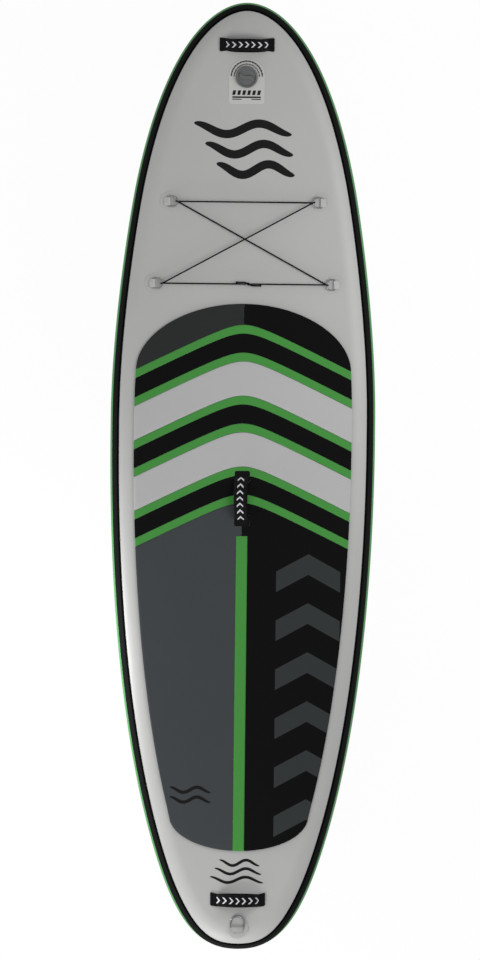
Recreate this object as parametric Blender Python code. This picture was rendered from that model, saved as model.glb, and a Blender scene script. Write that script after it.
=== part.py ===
"""Inflatable stand-up paddle board, modelled piece by piece in metres.

The nose points to +Y, the deck faces +Z, and the origin lies below the middle of the board,
level with the tip of the centre fin. Flat pieces are drawn in board space, where the hull is
straight, and are then lifted onto the hull's curved line.
"""
import math

import bmesh
import bpy
import numpy as np
from mathutils import Matrix, Vector

# Hull
BOARD_LENGTH = 2.896
BOARD_WIDTH = 0.811
THICKNESS = 0.150
WIDEST_AHEAD = 0.171        # the widest place, ahead of the middle of the length
NOSE_SHOULDER = (0.331, 0.533)      # half width, and how far it lies from the nose tip
NOSE_HEADING = math.radians(78.4)   # how far the edge has turned there
NOSE_REACH = (0.0925, 0.434, 0.110, 0.295)   # curve handles from the tip to the widest place
TAIL_SHOULDER = (0.256, 0.296)
TAIL_HEADING = math.radians(72.6)
TAIL_REACH = (0.119, 0.229, 0.523, 0.138)
NOSE_LIFT = 0.115
NOSE_LIFT_LENGTH = 1.050    # the last stretch of the board, over which the nose rises
TAIL_LIFT = 0.025
TAIL_LIFT_LENGTH = 0.350
SKIN = 0.0010
TAPE = 0.0008
SEAM_ANGLE = 36.6           # degrees up the rail from its widest line
TAPE_HALF_ANGLE = 13.1
CORE_CLOTH = 0.0006
CORE_MARGIN = 0.006         # from the end of the flat bottom to the core's edge
STRAND = 0.0024             # radius of a tuft of drop stitch
STRAND_PITCH = (0.140, 0.240)
GAP = 0.0003                # between pieces that touch

# Deck pad
PAD_THICKNESS = 0.005
PAD_MARGIN = 0.072          # in from the rail
PAD_FRONT = 0.318 * BOARD_LENGTH   # from the nose tip
PAD_BACK = 0.1036 * BOARD_LENGTH   # from the tail tip
PAD_FRONT_ARCH = 0.200
PAD_BACK_ARCH = 0.108
CHEVRON_TIP = 0.064         # first chevron, behind the pad's front
CHEVRON_DROP = 0.50         # slope of its arms
CHEVRON_TIP_RADIUS = 0.055  # how softly its tip turns
GREEN_STRIPE = 0.027
BLACK_STRIPE = 0.058
CHEVRON_OVER_HANDLE = 0.0305    # last chevron's tip, ahead of the middle of the handle's patch
CENTRE_LINE = 0.035
CENTRE_LINE_START = 0.030   # behind the middle handle
CUT_MARGIN = 0.0013         # round the middle handle's patches

# Handles
HANDLE_LENGTH = 0.169
HANDLE_END_WIDTH = 0.0435
HANDLE_RISE = 0.026
STRAP_WIDTH = 0.033
STRAP = 0.0016
STRAP_FOOT = 0.020          # sewn length at each end
STRAP_INSET = 0.001         # from the patch to the end of the strap
GRIP_LENGTH = 0.108
GRIP_WIDTH = 0.038
GRIP_THICKNESS = 0.008
HANDLE_PATCH = (0.034, 0.0460)
PATCH = 0.0009
PATCH_CORNER = 0.006
NOSE_HANDLE = 0.132         # from the nose tip
TAIL_HANDLE = 0.152         # from the tail tip
MIDDLE_HANDLE = 0.069       # behind the middle of the length

# Valve
VALVE = 0.227               # from the nose tip
VALVE_CAP_RADIUS = 0.0335
VALVE_CAP_HEIGHT = 0.0055
VALVE_FLANGE_RADIUS = 0.0325
VALVE_FLANGE = 0.0025
VALVE_TUBE_RADIUS = 0.0245
VALVE_BORE_RADIUS = 0.0205
VALVE_SEAT_RADIUS = 0.0135
VALVE_DEPTH = 0.030
VALVE_WEB = (0.018, 0.004)  # depth of its top, and its thickness
VALVE_SEAL = 0.0010
VALVE_NUT_RADIUS = 0.038
VALVE_NUT = (0.003, 0.014, 0.006)   # flange thickness, height and wall of its collar
VALVE_CLEARANCE = 0.0008    # round the tube where it passes the deck
VALVE_PORTS = 4
VALVE_PORT_WALL = 0.0010
VALVE_CAP_BEVEL = (0.004, 0.003)
VALVE_CAP_SKIRT = (0.0006, 0.004, 0.0025)   # clearance, depth and wall
STEM_RADIUS = 0.0040
STEM_HEAD = (0.0175, 0.0030)
STEM_DISC = (0.0165, 0.0035)
STEM_CLEARANCE = 0.0004
STEM_HEAD_DEPTH = 0.0042    # below the deck
SPRING_RADIUS = 0.0148
SPRING_WIRE = 0.0008
SPRING_TURNS = 4
GRIP_BAR = (0.054, 0.012, 0.0030)   # the raised bar across the cap
LABEL_RADIUS = 0.053
LABEL_BELOW = 0.081
LABEL = 0.0006

# Rings, the loops that hold them, and the cargo cord
RING_WIRE = 0.0020
CARGO_RING = (0.016, 0.026)     # half width and reach, to the middle of the wire
LEASH_RING = (0.0205, 0.036)
RING_CORNER = 0.003
LOOP_CLEARANCE = 0.00035
LOOP_WEB = 0.0014
LOOP_SIDE = 0.0006              # between a loop and the bends of its ring
LOOP_TAIL = 0.015
CARGO_PATCH = 0.028
LEASH_PATCH = 0.033
UPPER_RINGS = (0.2075, 0.609)   # tip from the centre line, and from the nose tip
LOWER_RINGS = (0.2510, 0.860)
LEASH_BAR = 0.065               # the leash ring's bar, from the tail tip
CORD_RADIUS = 0.00225
KNOT_CENTRE = 0.0125
KNOT_LENGTH = 0.079
KNOT_TWIST_LENGTH = 0.030

# Fins
FIN_BOX = (0.060, 0.220, 0.003)     # width, length and thickness of its plate
FIN_BOX_END = 0.368                 # its back end, from the tail tip
FIN_RAIL = (0.026, 0.018)           # width and height of the rail under the plate
FIN_RAIL_SHORT = 0.005              # how far it ends inside the plate
FIN_SLOT = (0.0080, 0.0140, 0.006)  # neck, head, and height of the head
FIN_CLEARANCE = 0.0004
FIN_TAB_LENGTH = 0.170
FIN_STOP = 0.012                    # closed front end of the slot
FIN_DEPTH = 0.180
FIN_BASE = 0.172
FIN_RAKE = 0.075
FIN_TIP = 0.045
FIN_THICK = 0.0074
CLIP_LENGTH = 0.024
TAB_SINK = 0.0012                   # how deep the tab is rooted in the blade
SIDE_FIN_DEPTH = 0.050
SIDE_FIN_BASE = 0.105
SIDE_FIN_APART = 0.170              # from the centre line
SIDE_FIN_FLANGE = (0.034, 0.130, 0.0025)
FIN_PATCH_MARGIN = 0.018
FIN_SLOT_ROOF = 0.002               # left above the slot

TIP_ANGLES = (0, 14, 28, 42)    # how far the edge has turned at the stations nearest a tip
ROCKER_STEP = 0.075             # between the lines on which the hull bends
UPPER_RAIL_ANGLES = (68.5,)     # bends of the rail between the seam and the deck
LOWER_RAIL_ANGLES = (14.4,)     # and between the seam and the widest line
TURNED_SIDES = 20
FLAT_STRIDE = 2                 # steps between stations where the hull is straight
RIM = THICKNESS / 2
NOSE_Y = BOARD_LENGTH / 2
TAIL_Y = -BOARD_LENGTH / 2
RAIL_HEIGHT = FIN_RAIL[1] + FIN_BOX[2] + PATCH + 2 * GAP
HULL_Z = FIN_DEPTH + RAIL_HEIGHT + GAP + RIM
UPWARD = Vector((0, 0, 1))

for old in list(bpy.data.objects):
    bpy.data.objects.remove(old, do_unlink=True)


def material(name, colour, roughness, metallic=0.0):
    """A plain finish: colour as sRGB from 0 to 255."""
    mat = bpy.data.materials.new(name)
    mat.use_nodes = True
    shader = mat.node_tree.nodes["Principled BSDF"]
    linear = [((c / 255 + 0.055) / 1.055) ** 2.4 if c > 10 else c / 3294.6 for c in colour]
    shader.inputs["Base Color"].default_value = (*linear, 1.0)
    shader.inputs["Roughness"].default_value = roughness
    shader.inputs["Metallic"].default_value = metallic
    mat.diffuse_color = (*linear, 1.0)
    return mat


SKIN_GREY = material("deck_grey", (176, 176, 174), 0.50)
RAIL_GREEN = material("rail_green", (70, 140, 74), 0.45)
TAPE_BLACK = material("tape_black", (14, 14, 14), 0.45)
PAD_BLACK = material("pad_black", (20, 20, 20), 0.85)
PAD_DARK = material("pad_dark_grey", (62, 66, 67), 0.85)
PAD_LIGHT = material("pad_light_grey", (180, 180, 180), 0.85)
PAD_GREEN = material("pad_green", (74, 144, 70), 0.85)
WEBBING = material("webbing_black", (18, 18, 18), 0.80)
VALVE_GREY = material("valve_grey", (86, 88, 90), 0.50)
LABEL_PALE = material("label_pale", (188, 188, 186), 0.45)
STEEL = material("steel", (190, 190, 192), 0.25, 1.0)
RUBBER = material("rubber", (30, 30, 30), 0.60)
CORE_WHITE = material("core_white", (225, 225, 220), 0.80)
FIN_BLACK = material("fin_black", (24, 24, 26), 0.40)


def rocker(y):
    """Height that the hull's curved line adds at a place along the board."""
    front = np.clip((y - NOSE_Y + NOSE_LIFT_LENGTH) / NOSE_LIFT_LENGTH, 0, None)
    back = np.clip((TAIL_Y + TAIL_LIFT_LENGTH - y) / TAIL_LIFT_LENGTH, 0, None)
    return NOSE_LIFT * front ** 2 + TAIL_LIFT * back ** 2


def rocker_slope(y):
    """Slope of that line."""
    step = 1e-4
    return float(rocker(y + step) - rocker(y - step)) / (2 * step)


def curve_piece(p0, p1, p2, p3, t):
    """Points and outward normals of one cubic curve of the outline."""
    p0, p1, p2, p3 = (np.array(p) for p in (p0, p1, p2, p3))
    t = t[:, None]
    s = 1 - t
    points = s ** 3 * p0 + 3 * s ** 2 * t * p1 + 3 * s * t ** 2 * p2 + t ** 3 * p3
    along = s ** 2 * (p1 - p0) + 2 * s * t * (p2 - p1) + t ** 2 * (p3 - p2)
    along = along / np.linalg.norm(along, axis=1)[:, None]
    normals = np.stack([-along[:, 1], along[:, 0]], axis=1)
    return points, normals


def half_outline(count):
    """The right half of the plan outline, nose tip to tail tip, with normals."""
    half = BOARD_WIDTH / 2
    halves = []
    for tip, sign, shoulder, heading, reach in (
            (NOSE_Y, 1, NOSE_SHOULDER, NOSE_HEADING, NOSE_REACH),
            (TAIL_Y, -1, TAIL_SHOULDER, TAIL_HEADING, TAIL_REACH)):
        knot = np.array((shoulder[0], tip - sign * shoulder[1]))
        turn = np.array((math.cos(heading), -sign * math.sin(heading)))
        widest = (half, WIDEST_AHEAD)
        t = np.linspace(0, 1, count + 1)
        first = curve_piece((0, tip), (reach[0], tip), knot - reach[1] * turn, knot, t)
        second = curve_piece(knot, knot + reach[2] * turn,
                             (half, WIDEST_AHEAD + sign * reach[3]), widest, t)
        halves.append([np.vstack([a, b[1:]]) for a, b in zip(first, second)])
    points = np.vstack([halves[0][0], halves[1][0][-2::-1]])
    normals = np.vstack([halves[0][1], -halves[1][1][-2::-1]])
    return points, normals


FINE, FINE_OUTWARD = half_outline(60)


def stations():
    """Places round the right half of the outline, closer together where the hull curves.

    Each is set by where the flat of the deck ends beside it, so that the deck bends on the
    same lines across the board as the pieces that lie on it.
    """
    flat_end = (FINE - FINE_OUTWARD * RIM)[::-1, 1]
    turn = np.degrees(np.arctan2(FINE_OUTWARD[:, 0], FINE_OUTWARD[:, 1]))[::-1]
    nose = [float(np.interp(-a, -turn, flat_end)) for a in TIP_ANGLES]
    tail = [float(np.interp(a - 180, -turn, flat_end)) for a in TIP_ANGLES]
    places = nose + tail
    for k in range(math.ceil(tail[-1] / ROCKER_STEP), math.floor(nose[-1] / ROCKER_STEP) + 1):
        y = k * ROCKER_STEP
        if (k % FLAT_STRIDE == 0 or rocker(y - ROCKER_STEP) + rocker(y + ROCKER_STEP) > 0) and (
                nose[-1] - y > ROCKER_STEP / 4 and y - tail[-1] > ROCKER_STEP / 4):
            places.append(y)
    places.sort(reverse=True)
    picked = [np.stack([np.interp(places, flat_end, column) for column in table[::-1].T], axis=1)
              for table in (FINE, FINE_OUTWARD)]
    points, normals = picked
    normals /= np.linalg.norm(normals, axis=1)[:, None]
    return points, normals


def full_outline():
    """The whole outline, clockwise from the nose tip."""
    points, normals = stations()
    flip = np.array((-1, 1))
    return (np.vstack([points, points[-2:0:-1] * flip]),
            np.vstack([normals, normals[-2:0:-1] * flip]))


OUTLINE, OUTWARD = full_outline()
HALF = len(OUTLINE) // 2


def half_width(y, inset):
    """Half width of the board at y, drawn in from its edge by inset."""
    line = FINE - FINE_OUTWARD * inset
    order = np.argsort(line[:, 1])
    return np.interp(y, line[order, 1], line[order, 0])


def finish(name, mesh, mat, smooth=None):
    """Make the named object; smooth is the largest angle that stays shaded smooth."""
    obj = bpy.data.objects.new(name, mesh)
    bpy.context.scene.collection.objects.link(obj)
    mesh.materials.clear()
    mesh.materials.append(mat)
    if smooth is not None:
        mesh.shade_smooth()
        mesh.set_sharp_from_angle(angle=math.radians(smooth))
    return obj


def to_mesh(bm, name):
    """Write a bmesh to a mesh, with its faces pointing out."""
    bmesh.ops.recalc_face_normals(bm, faces=bm.faces)
    mesh = bpy.data.meshes.new(name)
    bm.to_mesh(mesh)
    bm.free()
    return mesh


def solid_from(vertices, faces):
    """A bmesh from plain lists."""
    bm = bmesh.new()
    verts = [bm.verts.new(v) for v in vertices]
    for face in faces:
        bm.faces.new([verts[i] for i in face])
    return bm


def combine(base, others, operation):
    """Mesh of base after a Boolean with each of the other meshes."""
    objects = [bpy.data.objects.new("shape", m) for m in [base] + others]
    for obj in objects:
        bpy.context.scene.collection.objects.link(obj)
    for other in objects[1:]:
        step = objects[0].modifiers.new("step", "BOOLEAN")
        step.operation = operation
        step.solver = "EXACT"
        step.object = other
    graph = bpy.context.evaluated_depsgraph_get()
    mesh = bpy.data.meshes.new_from_object(objects[0].evaluated_get(graph))
    for obj in objects:
        bpy.data.objects.remove(obj, do_unlink=True)
    return mesh


def prism(outline, z0, z1):
    """An upright slab with the given plan outline."""
    count = len(outline)
    verts = [(x, y, z0) for x, y in outline] + [(x, y, z1) for x, y in outline]
    faces = [tuple(range(count)), tuple(range(2 * count - 1, count - 1, -1))]
    faces += [(i, (i + 1) % count, count + (i + 1) % count, count + i) for i in range(count)]
    return solid_from(verts, faces)


def lift_onto_hull(bm, z):
    """Cut a flat piece into short strips and lay it along the hull's line at height z."""
    low = min(v.co.y for v in bm.verts)
    high = max(v.co.y for v in bm.verts)
    for y in np.arange(math.ceil(low / ROCKER_STEP), math.floor(high / ROCKER_STEP) + 1) * ROCKER_STEP:
        if rocker(y - ROCKER_STEP) + rocker(y + ROCKER_STEP) > 0 and low + GAP < y < high - GAP:
            bmesh.ops.bisect_plane(bm, geom=bm.verts[:] + bm.edges[:] + bm.faces[:], dist=1e-6,
                                   plane_co=(0, y, 0), plane_no=(0, 1, 0))
    for v in bm.verts:
        v.co.z += z + float(rocker(v.co.y))
    return bm


DECK_Z = HULL_Z + RIM
BOTTOM_Z = HULL_Z - RIM


def deck_place(x, y, turn=0.0):
    """Frame on the deck at (x, y): local z is square to the deck, turn is about it."""
    slope = math.atan(rocker_slope(y))
    return (Matrix.Translation((x, y, DECK_Z + float(rocker(y)))) @ Matrix.Rotation(slope, 4, "X")
            @ Matrix.Rotation(turn, 4, "Z"))


def rounded(width, length, radius, steps=3):
    """A rectangle with round corners, centred at the origin."""
    points = []
    for cx, cy, start in ((1, 1, 0), (-1, 1, 90), (-1, -1, 180), (1, -1, 270)):
        for k in range(steps + 1):
            a = math.radians(start + 90 * k / steps)
            points.append((cx * (width / 2 - radius) + radius * math.cos(a),
                           cy * (length / 2 - radius) + radius * math.sin(a)))
    return points


def circle(radius, count, x=0.0, y=0.0):
    """Plan points of a circle."""
    return [(x + radius * math.cos(2 * math.pi * k / count),
             y + radius * math.sin(2 * math.pi * k / count)) for k in range(count)]


def turned(profile, sides):
    """A body turned from a closed profile of (radius, z) points."""
    bm = bmesh.new()
    rings = []
    for r, z in profile:
        if r == 0:
            rings.append([bm.verts.new((0, 0, z))] * sides)
        else:
            rings.append([bm.verts.new((r * math.cos(2 * math.pi * k / sides),
                                        r * math.sin(2 * math.pi * k / sides), z))
                          for k in range(sides)])
    for i, ring in enumerate(rings):
        other = rings[(i + 1) % len(rings)]
        for k in range(sides):
            corners = [ring[k], ring[(k + 1) % sides], other[(k + 1) % sides], other[k]]
            unique = list(dict.fromkeys(corners))
            if len(unique) > 2:
                bm.faces.new(unique)
    return bm


def swept(section_rings, closed=False):
    """Skin rings of equal count into one body, capped at both ends unless closed."""
    bm = bmesh.new()
    rings = [[bm.verts.new(p) for p in ring] for ring in section_rings]
    count = len(rings[0])
    spans = len(rings) if closed else len(rings) - 1
    for i in range(spans):
        a, b = rings[i], rings[(i + 1) % len(rings)]
        for k in range(count):
            bm.faces.new((a[k], a[(k + 1) % count], b[(k + 1) % count], b[k]))
    if not closed:
        bm.faces.new(rings[0])
        bm.faces.new(rings[-1])
    return bm


def placed(bm, frame):
    """Move a bmesh into a frame."""
    bm.transform(frame)
    return bm


# Hull skins and tapes

def rail_ring(angle, radius):
    """One line of points round the board, at an angle up the rail and a radius in it."""
    a = math.radians(angle)
    plan = OUTLINE - OUTWARD * (RIM - radius * math.cos(a))
    z = HULL_Z + radius * math.sin(a) + rocker(plan[:, 1])
    return [tuple(p) for p in np.column_stack([plan, z])]


def shell(name, angles, outer, thickness, flat=0):
    """A skin round the rail. flat is 1 or -1 where it also covers the deck or the bottom."""
    bm = bmesh.new()
    rows = []
    for radius in (outer, outer - thickness):
        rows.append([[bm.verts.new(p) for p in rail_ring(a, radius)] for a in angles])
    count = len(OUTLINE)

    def strip(a, b):
        for k in range(count):
            n = (k + 1) % count
            bm.faces.new((a[k], a[n], b[n]))
            bm.faces.new((a[k], b[n], b[k]))

    for side in rows:
        for a, b in zip(side, side[1:]):
            strip(a, b)
    strip(rows[0][0], rows[1][0])
    if not flat:
        strip(rows[0][-1], rows[1][-1])
    else:
        for side in rows:
            edge = side[-1]
            for k in range(HALF):
                left, left_next = edge[-k], edge[-k - 1]
                corners = (edge[k], edge[k + 1], left_next, left)
                bm.faces.new(list(dict.fromkeys(corners)))
    return to_mesh(bm, name)


def hull():
    """Deck, bottom and side skins with the tapes over and under their seams."""
    half_gap = math.degrees(GAP / RIM) / 2
    up = [SEAM_ANGLE + half_gap, SEAM_ANGLE + TAPE_HALF_ANGLE, *UPPER_RAIL_ANGLES, 90]
    side = [SEAM_ANGLE - half_gap, SEAM_ANGLE - TAPE_HALF_ANGLE, *LOWER_RAIL_ANGLES, 0]
    side = side + [-a for a in side[-2::-1]]
    tape = [SEAM_ANGLE - TAPE_HALF_ANGLE, SEAM_ANGLE, SEAM_ANGLE + TAPE_HALF_ANGLE]
    deck = shell("deck_skin", up, RIM, SKIN, 1)
    hole = circle(VALVE_TUBE_RADIUS + VALVE_CLEARANCE, TURNED_SIDES)
    hole = placed(prism(hole, -20 * SKIN, 20 * SKIN), deck_place(0, NOSE_Y - VALVE))
    deck = combine(deck, [to_mesh(hole, "hole")], "DIFFERENCE")
    finish("deck_skin", deck, SKIN_GREY, 40)
    bottom = shell("bottom_skin", [-a for a in up], RIM, SKIN, -1)
    finish("bottom_skin", bottom, SKIN_GREY, 40)
    finish("side_wall", shell("side_wall", side, RIM, SKIN), RAIL_GREEN, 40)
    for sign, name in ((1, "deck"), (-1, "bottom")):
        outer = shell(name, [sign * a for a in tape], RIM + GAP + TAPE, TAPE)
        finish(name + "_seam_tape", outer, TAPE_BLACK, 40)
        inner = shell(name, [sign * tape[0], sign * tape[2]], RIM - SKIN - GAP, TAPE)
        finish(name + "_inner_tape", inner, SKIN_GREY, 40)


def core():
    """The drop-stitch core: its base cloth with tufts of strands up to the deck skin."""
    low = -RIM + SKIN + GAP
    high = RIM - SKIN - GAP
    inset = RIM + CORE_MARGIN
    line = OUTLINE - OUTWARD * inset
    cloth = to_mesh(prism([tuple(p) for p in line], low, low + CORE_CLOTH), "cloth")
    tufts = []
    across, along = STRAND_PITCH
    for row in range(int(TAIL_Y / along), int(NOSE_Y / along) + 1):
        y = (row + 0.5) * along
        if not line[:, 1].min() + 0.03 < y < line[:, 1].max() - 0.03:
            continue
        reach = half_width(y, inset) - 2 * STRAND
        near_valve = abs(y - NOSE_Y + VALVE) < VALVE_NUT_RADIUS + 2 * STRAND
        for k in range(-int(reach / across), int(reach / across) + 1):
            if near_valve and abs(k * across) < VALVE_NUT_RADIUS + 2 * STRAND:
                continue
            tuft = prism(circle(STRAND, 3, k * across, y), low + CORE_CLOTH / 2, high)
            tufts.append(to_mesh(tuft, "tuft"))
    joined = combine(cloth, tufts, "UNION")
    bm = bmesh.new()
    bm.from_mesh(joined)
    lift_onto_hull(bm, HULL_Z)
    finish("drop_stitch_core", to_mesh(bm, "drop_stitch_core"), CORE_WHITE)


# Deck pad

PAD_TOP_Y = NOSE_Y - PAD_FRONT
PAD_END_Y = TAIL_Y + PAD_BACK
HANDLE_Y = -MIDDLE_HANDLE
CUT_LENGTH = HANDLE_PATCH[0] + 2 * CUT_MARGIN
CUT_WIDTH = HANDLE_PATCH[1] + 2 * CUT_MARGIN


def pad_edge(y):
    """Half width of the pad: a line inside the rail, closed by an arch at each end."""
    front = np.clip((y - PAD_TOP_Y + PAD_FRONT_ARCH) / PAD_FRONT_ARCH, 0, 1)
    back = np.clip((PAD_END_Y + PAD_BACK_ARCH - y) / PAD_BACK_ARCH, 0, 1)
    return half_width(y, PAD_MARGIN) * np.sqrt(1 - front ** 2) * np.sqrt(1 - back ** 2)


def chevron(tip, x):
    """y of a chevron line with its tip at y = tip: straight arms and a softly turned tip."""
    return tip - CHEVRON_DROP * (math.hypot(x, CHEVRON_TIP_RADIUS) - CHEVRON_TIP_RADIUS)


def chevron_end(tip):
    """y where that line meets the pad's edge."""
    y = tip
    for _ in range(60):
        y = 0.5 * y + 0.5 * chevron(tip, float(pad_edge(y)))
    return y


def edge_run(y_top, y_bottom, steps):
    """Points down the pad's right edge, closer together where an end arch turns."""
    t = (1 - np.cos(np.linspace(0, math.pi, steps + 1))) / 2
    return [(float(pad_edge(y)), float(y)) for y in y_top + (y_bottom - y_top) * t]


def line_run(tip, x0, x1, steps):
    """Points along a chevron line."""
    return [(float(x), chevron(tip, float(x))) for x in np.linspace(x0, x1, steps + 1)]


def pad_piece(name, outline, mat, holes=()):
    """One slab of the pad on the deck, with any upright holes cut first."""
    mesh = to_mesh(prism(tidy(outline), GAP, GAP + PAD_THICKNESS), name)
    if holes:
        cutters = [to_mesh(prism(hole, -0.01, 0.02), "hole") for hole in holes]
        mesh = combine(mesh, cutters, "DIFFERENCE")
    bm = bmesh.new()
    bm.from_mesh(mesh)
    lift_onto_hull(bm, DECK_Z)
    finish(name, to_mesh(bm, name), mat)


def tidy(points):
    """Drop points that repeat the one before."""
    kept = []
    for p in points:
        if not kept or math.dist(p, kept[-1]) > 1e-5:
            kept.append(p)
    if math.dist(kept[0], kept[-1]) < 1e-5:
        kept.pop()
    return kept


def mirrored(points):
    """The same points on the left, in reverse order."""
    return [(-x, y) for x, y in reversed(points)]


def pad():
    """Front cap, chevron bands, lower panels and the centre line."""
    tip = PAD_TOP_Y - CHEVRON_TIP
    first = tip + GAP / 2
    end = chevron_end(first)
    arch = edge_run(PAD_TOP_Y, end, 12)
    arch[0] = (GAP / 2, PAD_TOP_Y)
    right = arch + line_run(first, arch[-1][0], GAP / 2, 8)[1:]
    pad_piece("pad_front_left", mirrored(right), PAD_DARK)
    pad_piece("pad_front_right", right, PAD_BLACK)

    front_cut = HANDLE_Y + HANDLE_LENGTH / 2 - HANDLE_PATCH[0] / 2
    rear_cut = HANDLE_Y - HANDLE_LENGTH / 2 + HANDLE_PATCH[0] / 2
    coloured = 2 * GREEN_STRIPE + BLACK_STRIPE
    grey = (tip - front_cut - CHEVRON_OVER_HANDLE) / 2 - coloured
    bands = (("pad_chevron_front", coloured, PAD_BLACK), ("pad_grey_front", grey, PAD_LIGHT),
             ("pad_chevron_middle", coloured, PAD_BLACK), ("pad_grey_rear", grey, PAD_LIGHT),
             ("pad_chevron_rear", coloured, PAD_BLACK))
    for name, width, mat in bands:
        top, bottom = tip - GAP / 2, tip - width + GAP / 2
        edge = edge_run(chevron_end(top), chevron_end(bottom), 3)
        half_top = line_run(top, 0, edge[0][0], 8)
        half_bottom = line_run(bottom, 0, edge[-1][0], 8)
        ring = half_top + edge[1:-1] + half_bottom[::-1]
        holes = ()
        if bottom < front_cut - CUT_LENGTH / 2 < top:
            hole = [(x, y + front_cut) for x, y in rounded(CUT_WIDTH, CUT_LENGTH, PATCH_CORNER)]
            holes = (hole,)
        pad_piece(name, ring + mirrored(ring), mat, holes)
        tip -= width

    first = tip - GAP / 2
    start = rear_cut - CUT_LENGTH / 2 - CENTRE_LINE_START
    side = CENTRE_LINE / 2 + GAP
    inner = [(GAP / 2, chevron(first, 0)), (GAP / 2, rear_cut + CUT_LENGTH / 2)]
    inner += [(CUT_WIDTH / 2, rear_cut + CUT_LENGTH / 2), (CUT_WIDTH / 2, rear_cut - CUT_LENGTH / 2),
              (GAP / 2, rear_cut - CUT_LENGTH / 2), (GAP / 2, start + GAP), (side, start + GAP)]
    edge = edge_run(chevron_end(first), PAD_END_Y, 20)
    edge = [p for p in edge if p[0] > side]
    low = back_of_pad(side)
    outline = line_run(first, GAP / 2, edge[0][0], 8) + edge[1:] + [(side, low)] + inner[:0:-1]
    pad_piece("pad_panel_left", mirrored(outline), PAD_DARK)
    pad_piece("pad_panel_right", outline, PAD_BLACK)
    low = back_of_pad(CENTRE_LINE / 2)
    line = [(CENTRE_LINE / 2, start), (CENTRE_LINE / 2, low), (0, PAD_END_Y)]
    pad_piece("pad_centre_line", line + mirrored(line[:2]), PAD_GREEN)


def back_of_pad(x):
    """y of the pad's rear edge at a distance x from the centre line."""
    ratio = x / float(half_width(PAD_END_Y, PAD_MARGIN))
    return PAD_END_Y + PAD_BACK_ARCH - PAD_BACK_ARCH * math.sqrt(1 - ratio ** 2)


# Handles

def strap_line(x):
    """Height of the strap's middle over the deck: flat feet and a round arch between."""
    foot = GAP + PATCH + GAP + STRAP / 2
    reach = HANDLE_LENGTH / 2 - STRAP_FOOT
    if abs(x) >= reach:
        return foot
    return foot + HANDLE_RISE * (1 - (x / reach) ** 4) ** 1.5


def along_strap(x, section):
    """A ring of section points (across, up) set square to the strap at x."""
    step = 1e-4
    slope = math.atan2(strap_line(x + step) - strap_line(x - step), 2 * step)
    ring = []
    for across, up in section:
        ring.append((x - up * math.sin(slope), across, strap_line(x) + up * math.cos(slope)))
    return ring


def handle(prefix, y, patch_colour, turn=0.0):
    """A webbing strap with a padded grip round it and a sewn foot at each end."""
    frame = deck_place(0, y, turn)
    end = HANDLE_LENGTH / 2 - STRAP_INSET
    reach = HANDLE_LENGTH / 2 - STRAP_FOOT
    stations = [-end, -reach - 0.008] + list(np.linspace(-reach, reach, 15)) + [reach + 0.008, end]
    rings = []
    for x in stations:
        spread = min(1.0, max(0.0, (abs(x) - reach) / STRAP_FOOT))
        half = (STRAP_WIDTH + (HANDLE_END_WIDTH - STRAP_WIDTH) * spread) / 2
        rings.append(along_strap(x, [(-half, -STRAP / 2), (half, -STRAP / 2),
                                     (half, STRAP / 2), (-half, STRAP / 2)]))
    finish(prefix + "_handle_strap", to_mesh(placed(swept(rings), frame), prefix), WEBBING)

    wide, tall = GRIP_WIDTH / 2, GRIP_THICKNESS / 2
    slot_wide, slot_tall = STRAP_WIDTH / 2 + 2 * GAP, STRAP / 2 + 2 * GAP
    outer = [(wide, 0), (wide - tall / 2, tall), (-wide + tall / 2, tall),
             (-wide, 0), (-wide + tall / 2, -tall), (wide - tall / 2, -tall)]
    inner = [(slot_wide, 0), (slot_wide, slot_tall), (-slot_wide, slot_tall),
             (-slot_wide, 0), (-slot_wide, -slot_tall), (slot_wide, -slot_tall)]
    bm = bmesh.new()
    rows = []
    for x in np.linspace(-GRIP_LENGTH / 2, GRIP_LENGTH / 2, 11):
        ring = along_strap(x, outer + inner)
        rows.append([bm.verts.new(p) for p in ring])
    for a, b in zip(rows, rows[1:]):
        for k in range(6):
            n = (k + 1) % 6
            bm.faces.new((a[k], a[n], b[n], b[k]))
            bm.faces.new((a[6 + k], b[6 + k], b[6 + n], a[6 + n]))
    for row in (rows[0], rows[-1]):
        for k in range(6):
            n = (k + 1) % 6
            bm.faces.new((row[k], row[n], row[6 + n], row[6 + k]))
    finish(prefix + "_handle_grip", to_mesh(placed(bm, frame), prefix), WEBBING, 40)

    for sign, side in ((-1, "a"), (1, "b")):
        shift = sign * (HANDLE_LENGTH - HANDLE_PATCH[0]) / 2
        plan = []
        for px, py in rounded(HANDLE_PATCH[0], HANDLE_PATCH[1], PATCH_CORNER):
            spot = Matrix.Rotation(turn, 4, "Z") @ Vector((px + shift, py, 0))
            plan.append((spot.x, spot.y + y))
        bm = lift_onto_hull(prism(plan, GAP, GAP + PATCH), DECK_Z)
        finish(prefix + "_handle_patch_" + side, to_mesh(bm, prefix), patch_colour)


# Valve

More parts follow.
